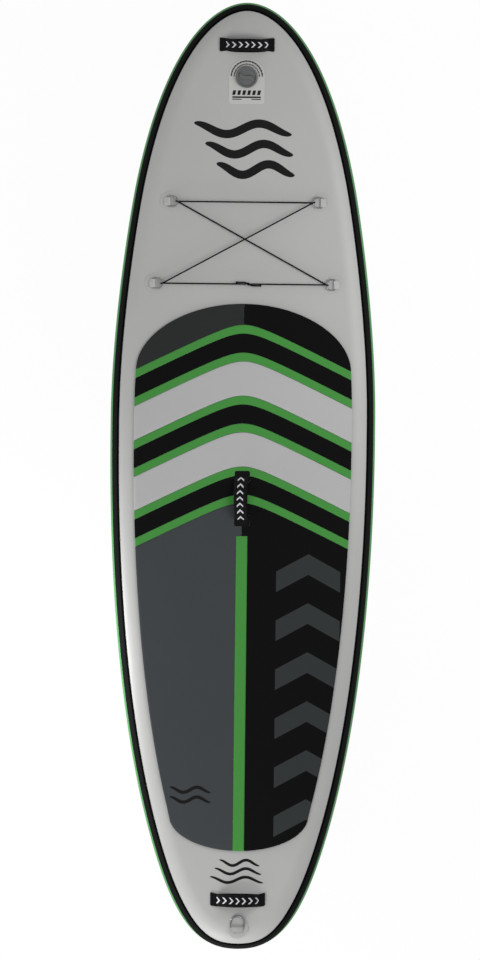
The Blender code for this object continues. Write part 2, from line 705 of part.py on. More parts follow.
def valve():
    """Label, body, seal, inner nut, spring-loaded stem and screw-on cap."""
    y = NOSE_Y - VALVE
    frame = deck_place(0, y)
    hole = VALVE_TUBE_RADIUS + VALVE_CLEARANCE
    arch = [(LABEL_RADIUS * math.cos(a), LABEL_RADIUS * math.sin(a))
            for a in np.linspace(0, math.pi, 17)]
    low = rounded(2 * LABEL_RADIUS, 2 * LABEL_BELOW, 0.17 * LABEL_RADIUS)[8:]
    plan = [(px, py + y) for px, py in arch + low]
    mesh = to_mesh(prism(plan, GAP, GAP + LABEL), "valve_label")
    cutter = to_mesh(prism(circle(hole, TURNED_SIDES, 0, y), -0.01, 0.01), "hole")
    bm = bmesh.new()
    bm.from_mesh(combine(mesh, [cutter], "DIFFERENCE"))
    finish("valve_label", to_mesh(lift_onto_hull(bm, DECK_Z), "valve_label"), LABEL_PALE)

    seal_z = GAP + LABEL + 2 * GAP
    seal = turned([(hole, seal_z), (hole, seal_z + VALVE_SEAL),
                   (VALVE_FLANGE_RADIUS - 0.001, seal_z + VALVE_SEAL),
                   (VALVE_FLANGE_RADIUS - 0.001, seal_z)], TURNED_SIDES)
    finish("valve_seal", to_mesh(placed(seal, frame), "valve_seal"), RUBBER, 40)

    flange_z = seal_z + VALVE_SEAL + GAP
    top = flange_z + VALVE_FLANGE
    web_top, web = -VALVE_WEB[0], VALVE_WEB[1]
    guide = STEM_RADIUS + STEM_CLEARANCE
    body = turned([(VALVE_BORE_RADIUS, top), (VALVE_FLANGE_RADIUS, top),
                   (VALVE_FLANGE_RADIUS, flange_z), (VALVE_TUBE_RADIUS, flange_z),
                   (VALVE_TUBE_RADIUS, -VALVE_DEPTH), (VALVE_SEAT_RADIUS, -VALVE_DEPTH),
                   (VALVE_SEAT_RADIUS, web_top - web), (guide, web_top - web),
                   (guide, web_top), (VALVE_BORE_RADIUS, web_top)], TURNED_SIDES)
    reach = (VALVE_SEAT_RADIUS + guide) / 2
    air = (VALVE_SEAT_RADIUS - guide) / 2 - VALVE_PORT_WALL
    ports = []
    for k in range(VALVE_PORTS):
        a = 2 * math.pi / VALVE_PORTS * k
        plan = circle(air, 8, reach * math.cos(a), reach * math.sin(a))
        ports.append(to_mesh(prism(plan, web_top - 2 * web, web_top + web), "port"))
    bm = bmesh.new()
    bm.from_mesh(combine(to_mesh(body, "valve_body"), ports, "DIFFERENCE"))
    finish("valve_body", to_mesh(placed(bm, frame), "valve_body"), VALVE_GREY, 40)

    nut_top = -SKIN - 2 * GAP
    nut_flange, nut_height, nut_wall = VALVE_NUT
    bore = VALVE_TUBE_RADIUS + STEM_CLEARANCE
    nut = turned([(bore, nut_top), (VALVE_NUT_RADIUS, nut_top),
                  (VALVE_NUT_RADIUS, nut_top - nut_flange), (bore + nut_wall, nut_top - nut_flange),
                  (bore + nut_wall, nut_top - nut_height), (bore, nut_top - nut_height)],
                 TURNED_SIDES)
    finish("valve_nut", to_mesh(placed(nut, frame), "valve_nut"), VALVE_GREY, 40)

    disc_top = -VALVE_DEPTH - GAP
    head_top = -STEM_HEAD_DEPTH
    head_low = head_top - STEM_HEAD[1]
    stem = turned([(0, head_top), (STEM_HEAD[0], head_top), (STEM_HEAD[0], head_low),
                   (STEM_RADIUS, head_low), (STEM_RADIUS, disc_top), (STEM_DISC[0], disc_top),
                   (STEM_DISC[0], disc_top - STEM_DISC[1]), (0, disc_top - STEM_DISC[1])], 16)
    finish("valve_stem", to_mesh(placed(stem, frame), "valve_stem"), RUBBER, 40)

    low = web_top + GAP + SPRING_WIRE
    high = head_low - GAP - SPRING_WIRE
    per_turn = 8
    rings = []
    for k in range(SPRING_TURNS * per_turn + 1):
        a = 2 * math.pi * k / per_turn
        centre = Vector((SPRING_RADIUS * math.cos(a), SPRING_RADIUS * math.sin(a),
                         low + (high - low) * k / (SPRING_TURNS * per_turn)))
        outward = Vector((math.cos(a), math.sin(a), 0))
        rings.append([centre + SPRING_WIRE * (math.cos(b) * outward + math.sin(b) * UPWARD)
                      for b in np.arange(5) * 2 * math.pi / 5])
    finish("valve_spring", to_mesh(placed(swept(rings), frame), "valve_spring"), STEEL, 60)

    cap_z = top + GAP
    cap_top = cap_z + VALVE_CAP_HEIGHT
    clearance, depth, wall = VALVE_CAP_SKIRT
    skirt = VALVE_BORE_RADIUS - clearance
    bevel, drop = VALVE_CAP_BEVEL
    cap = turned([(0, cap_top), (VALVE_CAP_RADIUS - bevel, cap_top),
                  (VALVE_CAP_RADIUS - bevel / 4, cap_top - 0.4 * drop),
                  (VALVE_CAP_RADIUS, cap_top - drop), (VALVE_CAP_RADIUS, cap_z), (skirt, cap_z),
                  (skirt, cap_z - depth), (skirt - wall, cap_z - depth), (skirt - wall, cap_z),
                  (0, cap_z)], TURNED_SIDES)
    bar_length, bar_width, bar_height = GRIP_BAR
    bar = prism(rounded(bar_length, bar_width, 0.45 * bar_width), cap_top - 0.2 * VALVE_CAP_HEIGHT,
                cap_top + bar_height)
    bm = bmesh.new()
    bm.from_mesh(combine(to_mesh(cap, "cap"), [to_mesh(bar, "bar")], "UNION"))
    finish("valve_cap", to_mesh(placed(bm, frame), "valve_cap"), VALVE_GREY, 40)


# Rings and the cargo cord

LOOP_HOLE = RING_WIRE + LOOP_CLEARANCE
BAR_HEIGHT = GAP + PATCH + GAP + LOOP_WEB + LOOP_HOLE
TURN_RADIUS = RING_WIRE + CORD_RADIUS + 2 * GAP
CARGO_TIP_HEIGHT = GAP + PATCH + GAP + CORD_RADIUS + TURN_RADIUS
CARGO_TILT = math.asin((CARGO_TIP_HEIGHT - BAR_HEIGHT) / CARGO_RING[1])
LEASH_TILT = math.asin((GAP + PATCH + GAP + RING_WIRE - BAR_HEIGHT) / LEASH_RING[1])


def ring_path(half, reach):
    """Middle line of the wire: a straight bar, two short sides and a round front."""
    points = [(0.0, y) for y in (-half + RING_CORNER, half - RING_CORNER)]
    c = RING_CORNER * (1 - math.sqrt(0.5))
    points.append((c, half - c))
    centre = reach - half
    points.append((RING_CORNER, half))
    for k in range(9):
        a = math.pi / 2 - math.pi * k / 8
        points.append((centre + half * math.cos(a), half * math.sin(a)))
    points += [(RING_CORNER, -half), (c, -half + c)]
    return points


def wire_loop(path, radius, sides):
    """A closed round wire along a flat path."""
    rings = []
    count = len(path)
    for k in range(count):
        before, here, after = (Vector((*path[(k + d) % count], 0)) for d in (-1, 0, 1))
        bend = (here - before).normalized() + (after - here).normalized()
        side = bend.normalized().cross(UPWARD)
        stretch = 2 / max(bend.length, 1e-6)
        rings.append([here + radius * (stretch * math.cos(a) * side + math.sin(a) * UPWARD)
                      for a in np.arange(sides) * 2 * math.pi / sides])
    return swept(rings, closed=True)


def ring_set(prefix, size, patch, x, y, turn, tilt):
    """A D-ring, the webbing loop that holds its bar and the patch below. (x, y) is the bar."""
    half, reach = size
    frame = deck_place(x, y, turn) @ Matrix.Translation((0, 0, BAR_HEIGHT))
    wire = wire_loop(ring_path(half, reach), RING_WIRE, 8)
    hinge = frame @ Matrix.Rotation(-tilt, 4, "Y")
    obj = finish(prefix + "_ring", to_mesh(wire, prefix), STEEL, 60)
    obj.matrix_world = hinge

    wide = half - RING_CORNER - LOOP_SIDE
    foot = -LOOP_HOLE - LOOP_WEB
    outer, inner = [], []
    for k in range(10):
        a = math.radians(-90 + 36 * k)
        inner.append((LOOP_HOLE * math.cos(a), LOOP_HOLE * math.sin(a)))
        if k <= 5:
            r = LOOP_HOLE + LOOP_WEB
            outer.append((r * math.cos(a), r * math.sin(a)))
    tail = -LOOP_TAIL
    rise = foot + 2 * LOOP_WEB
    outer += [(tail * 0.45, 0.5 * (rise + LOOP_HOLE + LOOP_WEB)), (tail, rise), (tail, foot),
              (tail * 0.4, foot)]
    bm = bmesh.new()
    ends = []
    for side in (-wide, wide):
        ends.append([bm.verts.new((px, side, pz)) for px, pz in outer + inner])
    for k in range(10):
        n = (k + 1) % 10
        a, b = ends
        bm.faces.new((a[k], a[n], b[n], b[k]))
        bm.faces.new((a[10 + k], a[10 + n], b[10 + n], b[10 + k]))
        for end in ends:
            bm.faces.new((end[k], end[n], end[10 + n], end[10 + k]))
    finish(prefix + "_loop", to_mesh(placed(bm, frame), prefix), SKIN_GREY, 40)

    plan = circle(patch, 20, x, y)
    bm = lift_onto_hull(prism(plan, GAP, GAP + PATCH), DECK_Z)
    finish(prefix + "_patch", to_mesh(bm, prefix), SKIN_GREY)
    return hinge @ Vector((reach, 0, 0))


def cord_turn(tip, start, end, over_first):
    """Points of the cord round a ring's tip, between two headings in plan."""
    points = []
    for k in range(6):
        t = k / 5
        a = math.pi / 2 - math.pi * t if over_first else -math.pi / 2 + math.pi * t
        heading = start + (end - start) * t
        outward = Vector((math.cos(heading), math.sin(heading), 0))
        points.append(tip + TURN_RADIUS * (math.cos(a) * outward + math.sin(a) * UPWARD))
    return points


def knot_strand(start_x, end_x, tail_left, y, z):
    """One of the two strands that twist once about each other in the lower run."""
    points = []
    apart = CORD_RADIUS + GAP
    steps = 18
    for k in range(steps + 1):
        x = start_x + (end_x - start_x) * k / steps
        t = min(1.0, max(0.0, (x - KNOT_CENTRE) / KNOT_TWIST_LENGTH + 0.5))
        smooth = t * t * (3 - 2 * t)
        a = 2 * math.pi * smooth
        middle = apart * math.cos(math.pi * smooth)
        sign = 1 if tail_left else -1
        points.append(Vector((x, y + middle + sign * apart * math.cos(a),
                              z + sign * apart * math.sin(a))))
    return points


def cargo():
    """Four rings and the one cord that crosses between them, tied in its lower run."""
    tips = {}
    for row, (tip_x, back) in (("upper", UPPER_RINGS), ("lower", LOWER_RINGS)):
        for side, sign, turn in (("left", -1, 0.0), ("right", 1, math.pi)):
            x = sign * (tip_x + CARGO_RING[1] * math.cos(CARGO_TILT))
            name = row + "_" + side
            tips[name] = ring_set("cargo_" + name, CARGO_RING, CARGO_PATCH, x, NOSE_Y - back,
                                  turn, CARGO_TILT)

    def heading(a, b):
        return math.atan2(tips[b].y - tips[a].y, tips[b].x - tips[a].x)

    run_y = tips["lower_right"].y
    up = TURN_RADIUS
    span = tips["lower_right"].x - tips["lower_left"].x
    share = (KNOT_CENTRE - tips["lower_left"].x) / span
    knot_z = tips["lower_left"].z + up * (2 * share - 1)
    left_end = KNOT_CENTRE - KNOT_LENGTH / 2
    right_end = KNOT_CENTRE + KNOT_LENGTH / 2
    route = knot_strand(left_end, right_end, True, run_y, knot_z)
    route += cord_turn(tips["lower_right"], 0, heading("upper_left", "lower_right"), True)
    route += cord_turn(tips["upper_left"], heading("lower_right", "upper_left"), math.pi, False)
    route += cord_turn(tips["upper_right"], 0, heading("lower_left", "upper_right"), False)
    route += cord_turn(tips["lower_left"], heading("upper_right", "lower_left"), -math.pi, True)
    route += knot_strand(left_end, right_end, False, run_y, knot_z)
    curve = bpy.data.curves.new("cargo_cord", "CURVE")
    curve.dimensions = "3D"
    curve.bevel_depth = CORD_RADIUS
    curve.bevel_resolution = 2
    curve.use_fill_caps = True
    spline = curve.splines.new("POLY")
    spline.points.add(len(route) - 1)
    for point, place in zip(spline.points, route):
        point.co = (*place, 1)
    curve.materials.append(WEBBING)
    cord = bpy.data.objects.new("cargo_cord", curve)
    bpy.context.scene.collection.objects.link(cord)


def leash():
    """The ring at the tail for the leash, pointing to the nose."""
    y = TAIL_Y + LEASH_BAR
    ring_set("leash", LEASH_RING, LEASH_PATCH, 0, y, math.pi / 2, LEASH_TILT)


# Fins

def fin_levels(base, tip, rake, depth, thick, levels=8):
    """Rings of a raked blade from its root down: a lens section at each level."""
    rings = []
    for k in range(levels + 1):
        t = k / levels
        chord = tip + (base - tip) * math.sqrt(max(0.0, 1 - t ** 2.2)) * (1 - 0.25 * t)
        back = -base / 2 - rake * t ** 1.6
        half = thick / 2 * (1 - 0.7 * t)
        z = -depth * math.sin(math.pi / 2 * t) if t < 1 else -depth
        right = [(half * 0.8, back + chord * 0.35, z), (half, back + chord * 0.68, z)]
        left = [(-x, y, z) for x, y, z in reversed(right)]
        rings.append([(0, back, z), *right, (0, back + chord, z), *left])
    return rings


def fins():
    """Fin box with its patch, the centre fin that slides into it, its clip, and two side fins."""
    wide, long, plate = FIN_BOX
    back = TAIL_Y + FIN_BOX_END
    middle = back + long / 2
    patch = rounded(wide + 2 * FIN_PATCH_MARGIN, long + 2 * FIN_PATCH_MARGIN, wide / 3)
    bm = prism([(x, y + middle) for x, y in patch], BOTTOM_Z - GAP - PATCH, BOTTOM_Z - GAP)
    finish("fin_box_patch", to_mesh(bm, "patch"), TAPE_BLACK)

    top = BOTTOM_Z - GAP - PATCH - GAP
    rail_w, rail_h = FIN_RAIL
    neck, head, head_h = FIN_SLOT
    low = top - plate - rail_h
    plan = [(x, y + middle) for x, y in rounded(wide, long, 0.25 * wide)]
    base = to_mesh(prism(plan, top - plate, top), "plate")
    plan = [(x, y + middle) for x, y in rounded(rail_w, long - 2 * FIN_RAIL_SHORT, 0.23 * rail_w)]
    rail = to_mesh(prism(plan, low, top - plate / 2), "rail")
    box = combine(base, [rail], "UNION")
    slot_top = top - plate - FIN_SLOT_ROOF
    front = middle + long / 2 - FIN_STOP - FIN_RAIL_SHORT
    rear = back - FIN_STOP
    tee = [(neck / 2, low - plate), (neck / 2, slot_top - head_h),
           (head / 2, slot_top - head_h), (head / 2, slot_top)]
    tee += [(-x, z) for x, z in reversed(tee)]
    cut = swept([[(x, rear, z) for x, z in tee], [(x, front, z) for x, z in tee]])
    box = combine(box, [to_mesh(cut, "slot")], "DIFFERENCE")
    finish("fin_box", box, FIN_BLACK, 30)

    c = FIN_CLEARANCE
    tab_front = front - c
    tab_back = tab_front - FIN_TAB_LENGTH
    root = low - GAP
    tab = [(neck / 2 - c, root - TAB_SINK), (neck / 2 - c, slot_top - head_h + c),
           (head / 2 - c, slot_top - head_h + c), (head / 2 - c, slot_top - c)]
    tab += [(-x, z) for x, z in reversed(tab)]
    tab_ends = [[(x, y, z) for x, z in tab] for y in (tab_back, tab_front)]
    tab_mesh = to_mesh(swept(tab_ends), "tab")
    fin_y = (tab_front + tab_back) / 2
    rings = fin_levels(FIN_BASE, FIN_TIP, FIN_RAKE, FIN_DEPTH, FIN_THICK)
    blade = [[(x, y + fin_y, z + root) for x, y, z in ring] for ring in rings]
    fin = combine(to_mesh(swept(blade), "blade"), [tab_mesh], "UNION")
    finish("centre_fin", fin, FIN_BLACK, 30)

    clip_front = tab_back - c
    clip_back = clip_front - CLIP_LENGTH
    key = [(x, max(z, root)) for x, z in tab]
    clip = swept([[(x, clip_back, z) for x, z in key], [(x, clip_front, z) for x, z in key]])
    finish("fin_clip", to_mesh(clip, "fin_clip"), VALVE_GREY)

    flange_w, flange_l, flange_t = SIDE_FIN_FLANGE
    for sign, name in ((-1, "left"), (1, "right")):
        x = sign * SIDE_FIN_APART
        plan = [(px + x, py + middle) for px, py in rounded(flange_w, flange_l, 0.012)]
        under = BOTTOM_Z - GAP - flange_t
        flange = to_mesh(prism(plan, under, BOTTOM_Z - GAP), "flange")
        rings = fin_levels(SIDE_FIN_BASE, SIDE_FIN_BASE * 0.25, SIDE_FIN_DEPTH * 0.5,
                           SIDE_FIN_DEPTH, FIN_THICK)
        root = under + 0.2 * flange_t
        rings = [[(px + x, py + middle, pz + root) for px, py, pz in ring] for ring in rings]
        fin = combine(flange, [to_mesh(swept(rings), "blade")], "UNION")
        finish("side_fin_" + name, fin, FIN_BLACK, 30)


hull()
core()
pad()
handle("nose", NOSE_Y - NOSE_HANDLE, SKIN_GREY)
handle("middle", HANDLE_Y, TAPE_BLACK, math.pi / 2)
handle("tail", TAIL_Y + TAIL_HANDLE, SKIN_GREY)
valve()
cargo()
leash()
fins()
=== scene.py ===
"""Finishes and detailed pieces for an inflatable paddle board, laid out as an add-on.

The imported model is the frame. Each visible piece is a surface worked out with numpy from the
board's outline and its rocker line, in metres, in the frame's own coordinates: the nose points
to +Y, the deck faces +Z.
"""
import math

import bmesh
import bpy
import numpy as np
from bpy.props import BoolProperty, FloatProperty, FloatVectorProperty, IntProperty, PointerProperty
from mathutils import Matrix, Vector


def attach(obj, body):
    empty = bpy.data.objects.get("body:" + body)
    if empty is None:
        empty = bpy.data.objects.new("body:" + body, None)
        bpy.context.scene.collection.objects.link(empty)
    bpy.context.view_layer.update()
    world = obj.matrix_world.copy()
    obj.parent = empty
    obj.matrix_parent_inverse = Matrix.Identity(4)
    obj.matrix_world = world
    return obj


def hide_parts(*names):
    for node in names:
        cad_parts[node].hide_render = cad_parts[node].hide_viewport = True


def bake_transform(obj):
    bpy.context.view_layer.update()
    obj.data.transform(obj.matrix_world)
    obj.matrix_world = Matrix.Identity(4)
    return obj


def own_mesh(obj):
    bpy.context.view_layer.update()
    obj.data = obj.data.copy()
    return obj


bl_info = {
    "name": "Paddle Board Maker",
    "version": (1, 0, 0),
    "blender": (4, 5, 0),
    "location": "View3D > Sidebar > Paddle Board",
    "description": "Dresses a packed inflatable paddle board with detailed pieces and finishes",
    "category": "Add Mesh",
}

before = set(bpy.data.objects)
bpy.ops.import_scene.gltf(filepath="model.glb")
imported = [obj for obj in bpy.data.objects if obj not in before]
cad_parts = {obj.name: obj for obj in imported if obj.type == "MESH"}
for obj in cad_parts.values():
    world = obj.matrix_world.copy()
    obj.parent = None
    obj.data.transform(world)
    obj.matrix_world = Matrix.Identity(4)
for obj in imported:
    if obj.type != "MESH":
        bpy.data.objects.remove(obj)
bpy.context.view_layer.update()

# The hull's shape, the same as in the part's source
BOARD_LENGTH = 2.896
HALF_WIDTH = 0.4055
RIM = 0.075
WIDEST_AHEAD = 0.171
NOSE_SHOULDER = (0.331, 0.533)
NOSE_HEADING = math.radians(78.4)
NOSE_REACH = (0.0925, 0.434, 0.110, 0.295)
TAIL_SHOULDER = (0.256, 0.296)
TAIL_HEADING = math.radians(72.6)
TAIL_REACH = (0.119, 0.229, 0.523, 0.138)
NOSE_LIFT, NOSE_LIFT_LENGTH = 0.115, 1.050
TAIL_LIFT, TAIL_LIFT_LENGTH = 0.025, 0.350
NOSE_Y, TAIL_Y = BOARD_LENGTH / 2, -BOARD_LENGTH / 2
HULL_Z = 0.2778
DECK_Z, BOTTOM_Z = HULL_Z + RIM, HULL_Z - RIM
SEAM_ANGLE, SEAM_GROOVE, TAPE_HALF_ANGLE = 36.6, 0.2, 13.1
GAP = 0.0003
SKIN = 0.0010
PATCH = 0.0009
CORE_CLOTH = (0.88, 0.88, 0.86)

# How meshes are made: small steps that slopes are taken over on the deck and on a strap, the steps
# near an edge that rounds off and the largest share it may take, and what a clean-up merges or drops
DECK_STEP, STRAP_STEP = 1e-4, 1e-5
NEAR_STEPS, ROUND_SHARE = (0, 0.10, 0.30, 0.62, 1.0), 0.2
WELD, SLIVER = 2e-6, 1e-7

# The tapes: thickness, how far they stand off the hull, the share of their width that rounds down, the
# angle at which the edge strip's width is measured, how many degrees their upper and lower edges drop
# at the tail, and how far out that drop starts and fades
TAPE, EDGE_TAPE, TAPE_LIFT, TAPE_ROUND = 0.0008, 0.0012, 0.0002, 0.05
STRIP_ANGLE = SEAM_ANGLE + 8
TAIL_DROP, TAIL_LOW_DROP = 11.0, 18.0
TAIL_DROP_END, TAIL_DROP_FADE = 0.20, 0.16

# The pad's lay-out
PAD_TOP_Y, PAD_END_Y = NOSE_Y - 0.318 * BOARD_LENGTH, TAIL_Y + 0.1036 * BOARD_LENGTH
PAD_MARGIN = 0.072
PAD_FRONT_ARCH, PAD_BACK_ARCH = 0.200, 0.108
CHEVRON_TIP_Y = PAD_TOP_Y - 0.064
CHEVRON_DROP, CHEVRON_TIP_RADIUS = 0.50, 0.055
GREEN_STRIPE, BLACK_STRIPE = 0.027, 0.058
PAD_THICKNESS = 0.005
CENTRE_LINE, CENTRE_LINE_START = 0.035, 0.030
CUT_MARGIN, CUT_CORNER = 0.0004, 0.006
CUT_LEVELS, BAR_CUT_LEVELS = (-0.01, 0.02), (-0.02, 0.08)

# The bars in the right panel: middle and half width of their column, slope, pitch, width and upper end
BAR_X, BAR_HALF, BAR_SLOPE, BAR_PITCH, BAR_WIDTH, BAR_TOP = 0.205, 0.098, 0.55, 0.150, 0.42, -0.225

# Handles: each one's name, y, turn, then its sleeve's sway to a side, width and flare at the ends.
# The strap lies flat and spreads at its feet. A sleeve thins towards its ends, where it flares, and its
# section is a squared oval.
HANDLE_LENGTH = 0.169
MIDDLE_Y = -0.069
HANDLES = (("nose", NOSE_Y - 0.132, 0.0, 0.0085, 0.0355, 0.0065),
           ("middle", MIDDLE_Y, math.pi / 2, 0.0068, 0.0380, 0.0060),
           ("tail", TAIL_Y + 0.152, 0.0, -0.0075, 0.0385, 0.0025))
STRAP_FOOT, HANDLE_RISE = 0.020, 0.026
STRAP, STRAP_WIDTH, STRAP_SPREAD = 0.0016, 0.033, 0.0050
STRAP_SHORT, STRAP_ARCH, WEB_EDGE = 0.003, 1.5, 0.0005
SLEEVE_HALF, SLEEVE_CORNER = 0.0839, 0.0040
SLEEVE_END, SLEEVE_SWELL, SLEEVE_RAMP, SLEEVE_RIPPLE = 0.0030, 0.0050, 0.036, 0.0003
SLEEVE_UNDER, SLEEVE_UNDER_SWELL = 0.0009, 0.0031
FLARE_START, FLARE_RUN, FLARE_CURVE = 0.60, 0.36, 1.8
SLEEVE_TOP, SLEEVE_SQUARE = 0.3, (0.4, 0.6)
HANDLE_PATCH = (0.034, 0.0460)
CUT_REACH = (HANDLE_LENGTH - HANDLE_PATCH[0]) / 2
CUT_Y = (MIDDLE_Y + CUT_REACH, MIDDLE_Y - CUT_REACH)
CHEVRON_OVER_HANDLE = 0.0305
GREY_BAND = (CHEVRON_TIP_Y - CUT_Y[0] - CHEVRON_OVER_HANDLE) / 2 - 2 * GREEN_STRIPE - BLACK_STRIPE

# Chevrons printed on a sleeve: pitch, shift, depth of the point, width of the band and reach across,
# then the heights of their top and their underside over the sleeve
PRINT_PITCH, PRINT_BACK, PRINT_POINT, PRINT_BAND, PRINT_REACH = 0.0190, 0.007, 0.0085, 0.0052, 0.50
PRINT_LIFTS = (0.00022, 0.00006)

# Printed waves, in sets: the first one's middle, the step to the next, the share of the set's width
# that the first one takes and its growth, then rise and stroke; a film's height over the deck; and
# how many turns a wave makes, with the share of its stroke that is left at its tips
NOSE_WAVES = ((-0.010, 1.062), (0.020, -0.062), 1.0, -0.10, 0.0165, 0.026)
TAIL_WAVES = ((0.004, -1.184), (-0.004, -0.026), 0.86, 0.14, 0.0085, 0.0090)
PAD_WAVES = ((-0.149, -0.962), (0.0, -0.030), 1.0, 0.0, 0.008, 0.0100)
PAD_WAVE_WIDTH, FILM_LIFT = 0.126, 0.0001
WAVE_TURNS, WAVE_TIP = 1.5, 0.02

# Sewing: pitch, length and radius of a stitch, then the places of the seams on a sleeve and a foot
STITCH = (0.0036, 0.0026, 0.00035)
LOOP_STITCH = (0.0028, 0.0020, 0.00028)
SEAM_LIFT = 0.0001
SIDE_SEAM, SIDE_SEAM_END = 0.86, 0.004
END_SEAM, END_SEAMS_BACK = 0.85, (0.0018, 0.0044)
FOOT_SEAM, FOOT_SEAM_BACK = 0.019, 0.0040

# Valve, from its middle on the deck and along its axis: the label round its hole with two rows of
# ticks, bars and lines, the cap with a hollow face, a swaying grip and two domes on it, and the spring:
# its size, its ends and the share of its length that a pushed spring keeps
VALVE_Y = NOSE_Y - 0.227
VALVE_HOLE = 0.0253
LABEL, LABEL_RADIUS, LABEL_BELOW, LABEL_CORNER = 0.0006, 0.055, 0.083, 0.010
LABEL_INK, LABEL_INK_LIFT = 0.0001, 0.00002
TICK_COUNTS, TICK_LOW, TICK_HIGH, TICK_ENDS = (62, 50), (0.0450, 0.0364), (0.0500, 0.0408), (2, 178)
TICK_HALVES, TICK_SHORTER = (0.80, 1.35), (0.0009, 0.0008)
SLANTED_BAR = ((-0.0062, -0.0556), (0.0030, -0.0556), (0.0062, -0.0415), (-0.0030, -0.0415))
SLANTED_COUNT, SLANTED_PITCH = 6, 0.0152
LABEL_LINES = ((-0.0435, 0.0435, -0.0600, 0.0048), (-0.0435, -0.0150, -0.0674, 0.0028),
               (0.0150, 0.0435, -0.0674, 0.0028))
VALVE_SEAL, VALVE_FLANGE = 0.0010, 0.0025
CAP_LOW = GAP + LABEL + 2 * GAP + VALVE_SEAL + GAP + VALVE_FLANGE + GAP
CAP_RADIUS, CAP_HEIGHT, CAP_BEVEL, CAP_RIB = 0.0335, 0.0055, 0.0030, 0.0004
CAP_HOLLOW, CAP_HOLLOW_RADIUS, CAP_GRIP, CAP_DOME = 0.0030, 0.0280, 0.0046, 0.0012
CAP_HOLLOW_SLOPE, CAP_FACE_TURN = 0.0020, (0.87, 0.49)
GRIP_SWAY, GRIP_WAVE, GRIP_HALF, GRIP_POWER = 0.0055, 0.0265, (0.0262, 0.0062), 2.4
GRIP_EDGE, GRIP_FADE = 1.12, 0.45
DOME_OUT, DOME_HALF = 0.0165, (0.0150, 0.0075)
RUBBER = (0.10, 0.10, 0.10)
SPRING_RADIUS, SPRING_WIRE, SPRING_TURNS = 0.0148, 0.0008, 4
SPRING_LOW, SPRING_HIGH, SPRING_KEEP = -0.0177, -0.0075, 0.48

# Rings: half width and reach of each kind, then for each row its name, the distance of its tips from
# the centre line and that of its bars from the nose tip, the loops that hold them, the share of the loop
# colour that the leash loop keeps as a painted shade against the tail light on its slope, and the share
# that the thread beside the bright webbing takes
RING_WIRE, RING_CORNER = 0.0020, 0.003
CARGO_RING, LEASH_RING = (0.016, 0.026), (0.0205, 0.036)
RING_ROWS = (("upper", 0.2075, 0.609), ("lower", 0.2510, 0.860))
CARGO_PATCH, LEASH_PATCH = 0.028, 0.033
LEASH_Y = TAIL_Y + 0.065
LOOP_SIDE, LOOP_TAIL = 0.0006, 0.015
LOOP_HOLE, LOOP_WEB, LOOP_THIN = RING_WIRE + 0.00035, 0.0014, 0.0001
LEASH_PAINTED_SHADE, THREAD_SHADE = 0.87, 0.86
LOOP_SEAMS, LOOP_SEAM_SHORT = ((0.0132, 0.0001), (0.0112, 0.00025)), 0.002

# The cargo cord: its knot and its whippings, which taper over a share of their length, then how far
# inwards from a ring's bar a corner's piece ends and its bend starts and ends
CORD_RADIUS, CORD_SIDES = 0.00225, 14
KNOT_X, KNOT_LENGTH, KNOT_TWIST = 0.0125, 0.079, 0.030
WHIPPING, WHIPPING_AT, WHIPPING_RISE, WHIPPING_RIPPLE = 0.006, 0.004, 0.0007, 0.00015
WHIPPING_END, WHIPPING_BASE = 0.08, 0.9
CORNER_END, BEND_START, BEND_END = 0.064, 0.0600, 0.0275

# What follows: a bar's height over the deck, the cord's turn round a wire, and how rings tilt at rest
BAR_HEIGHT = GAP + PATCH + GAP + LOOP_WEB + LOOP_HOLE
TURN_RADIUS = RING_WIRE + CORD_RADIUS + 2 * GAP
CARGO_TILT = math.asin((GAP + PATCH + GAP + CORD_RADIUS + TURN_RADIUS - BAR_HEIGHT) / CARGO_RING[1])
LEASH_TILT = math.asin((GAP + PATCH + GAP + RING_WIRE - BAR_HEIGHT) / LEASH_RING[1])

# Fins: base, tip, rake, depth and thickness of each blade; how a blade's levels crowd, how its outline
# curves and tapers, how its rake grows, where its tip closes, how much it thins, and its section's
# factors and powers. Then the side fins' flange with the width, length and corner of its upper and its
# lower face, the fin box and the tab that slides in it
CENTRE_FIN = (0.172, 0.045, 0.075, 0.180, 0.0074)
SIDE_FIN = (0.105, 0.02625, 0.025, 0.050, 0.0074)
BLADE_CROWD, BLADE_CURVE, BLADE_TAPER, BLADE_RAKE = 0.9, 2.2, 0.25, 1.6
BLADE_CLOSE, BLADE_CLOSING, BLADE_THINS = 0.94, 0.06, 0.7
BLADE_SECTION = ((0.2969, 0.5), (-0.1260, 1), (-0.3516, 2), (0.2843, 3), (-0.1036, 4))
SIDE_FIN_X = 0.170
FLANGE, FLANGE_FACE = (0.034, 0.130, 0.012), (0.0325, 0.1285, 0.0113)
FLANGE_THICK, FLANGE_BEVEL, FOIL_SINK = 0.0025, 0.0008, 0.0005
FIN_BOX_END, FIN_BOX_LENGTH, FIN_BOX_PLATE, FIN_RAIL, FIN_RAIL_SHORT = 0.368, 0.220, 0.003, 0.018, 0.005
FIN_STOP, FIN_CLEARANCE = 0.012, 0.0004
TAB_LENGTH, TAB_NECK, TAB_HEAD, TAB_HEAD_HEIGHT = 0.170, 0.0040, 0.0070, 0.006
TAB_ROOF, TAB_SINK = 0.002, 0.0012

# What the camera sees: the height of its view at the deck, its middle and its turn
VIEW_HEIGHT, VIEW_CENTRE, VIEW_TURN, SENSOR = 2.9386, (-0.0070, -0.0122), 0.0112, 36.0

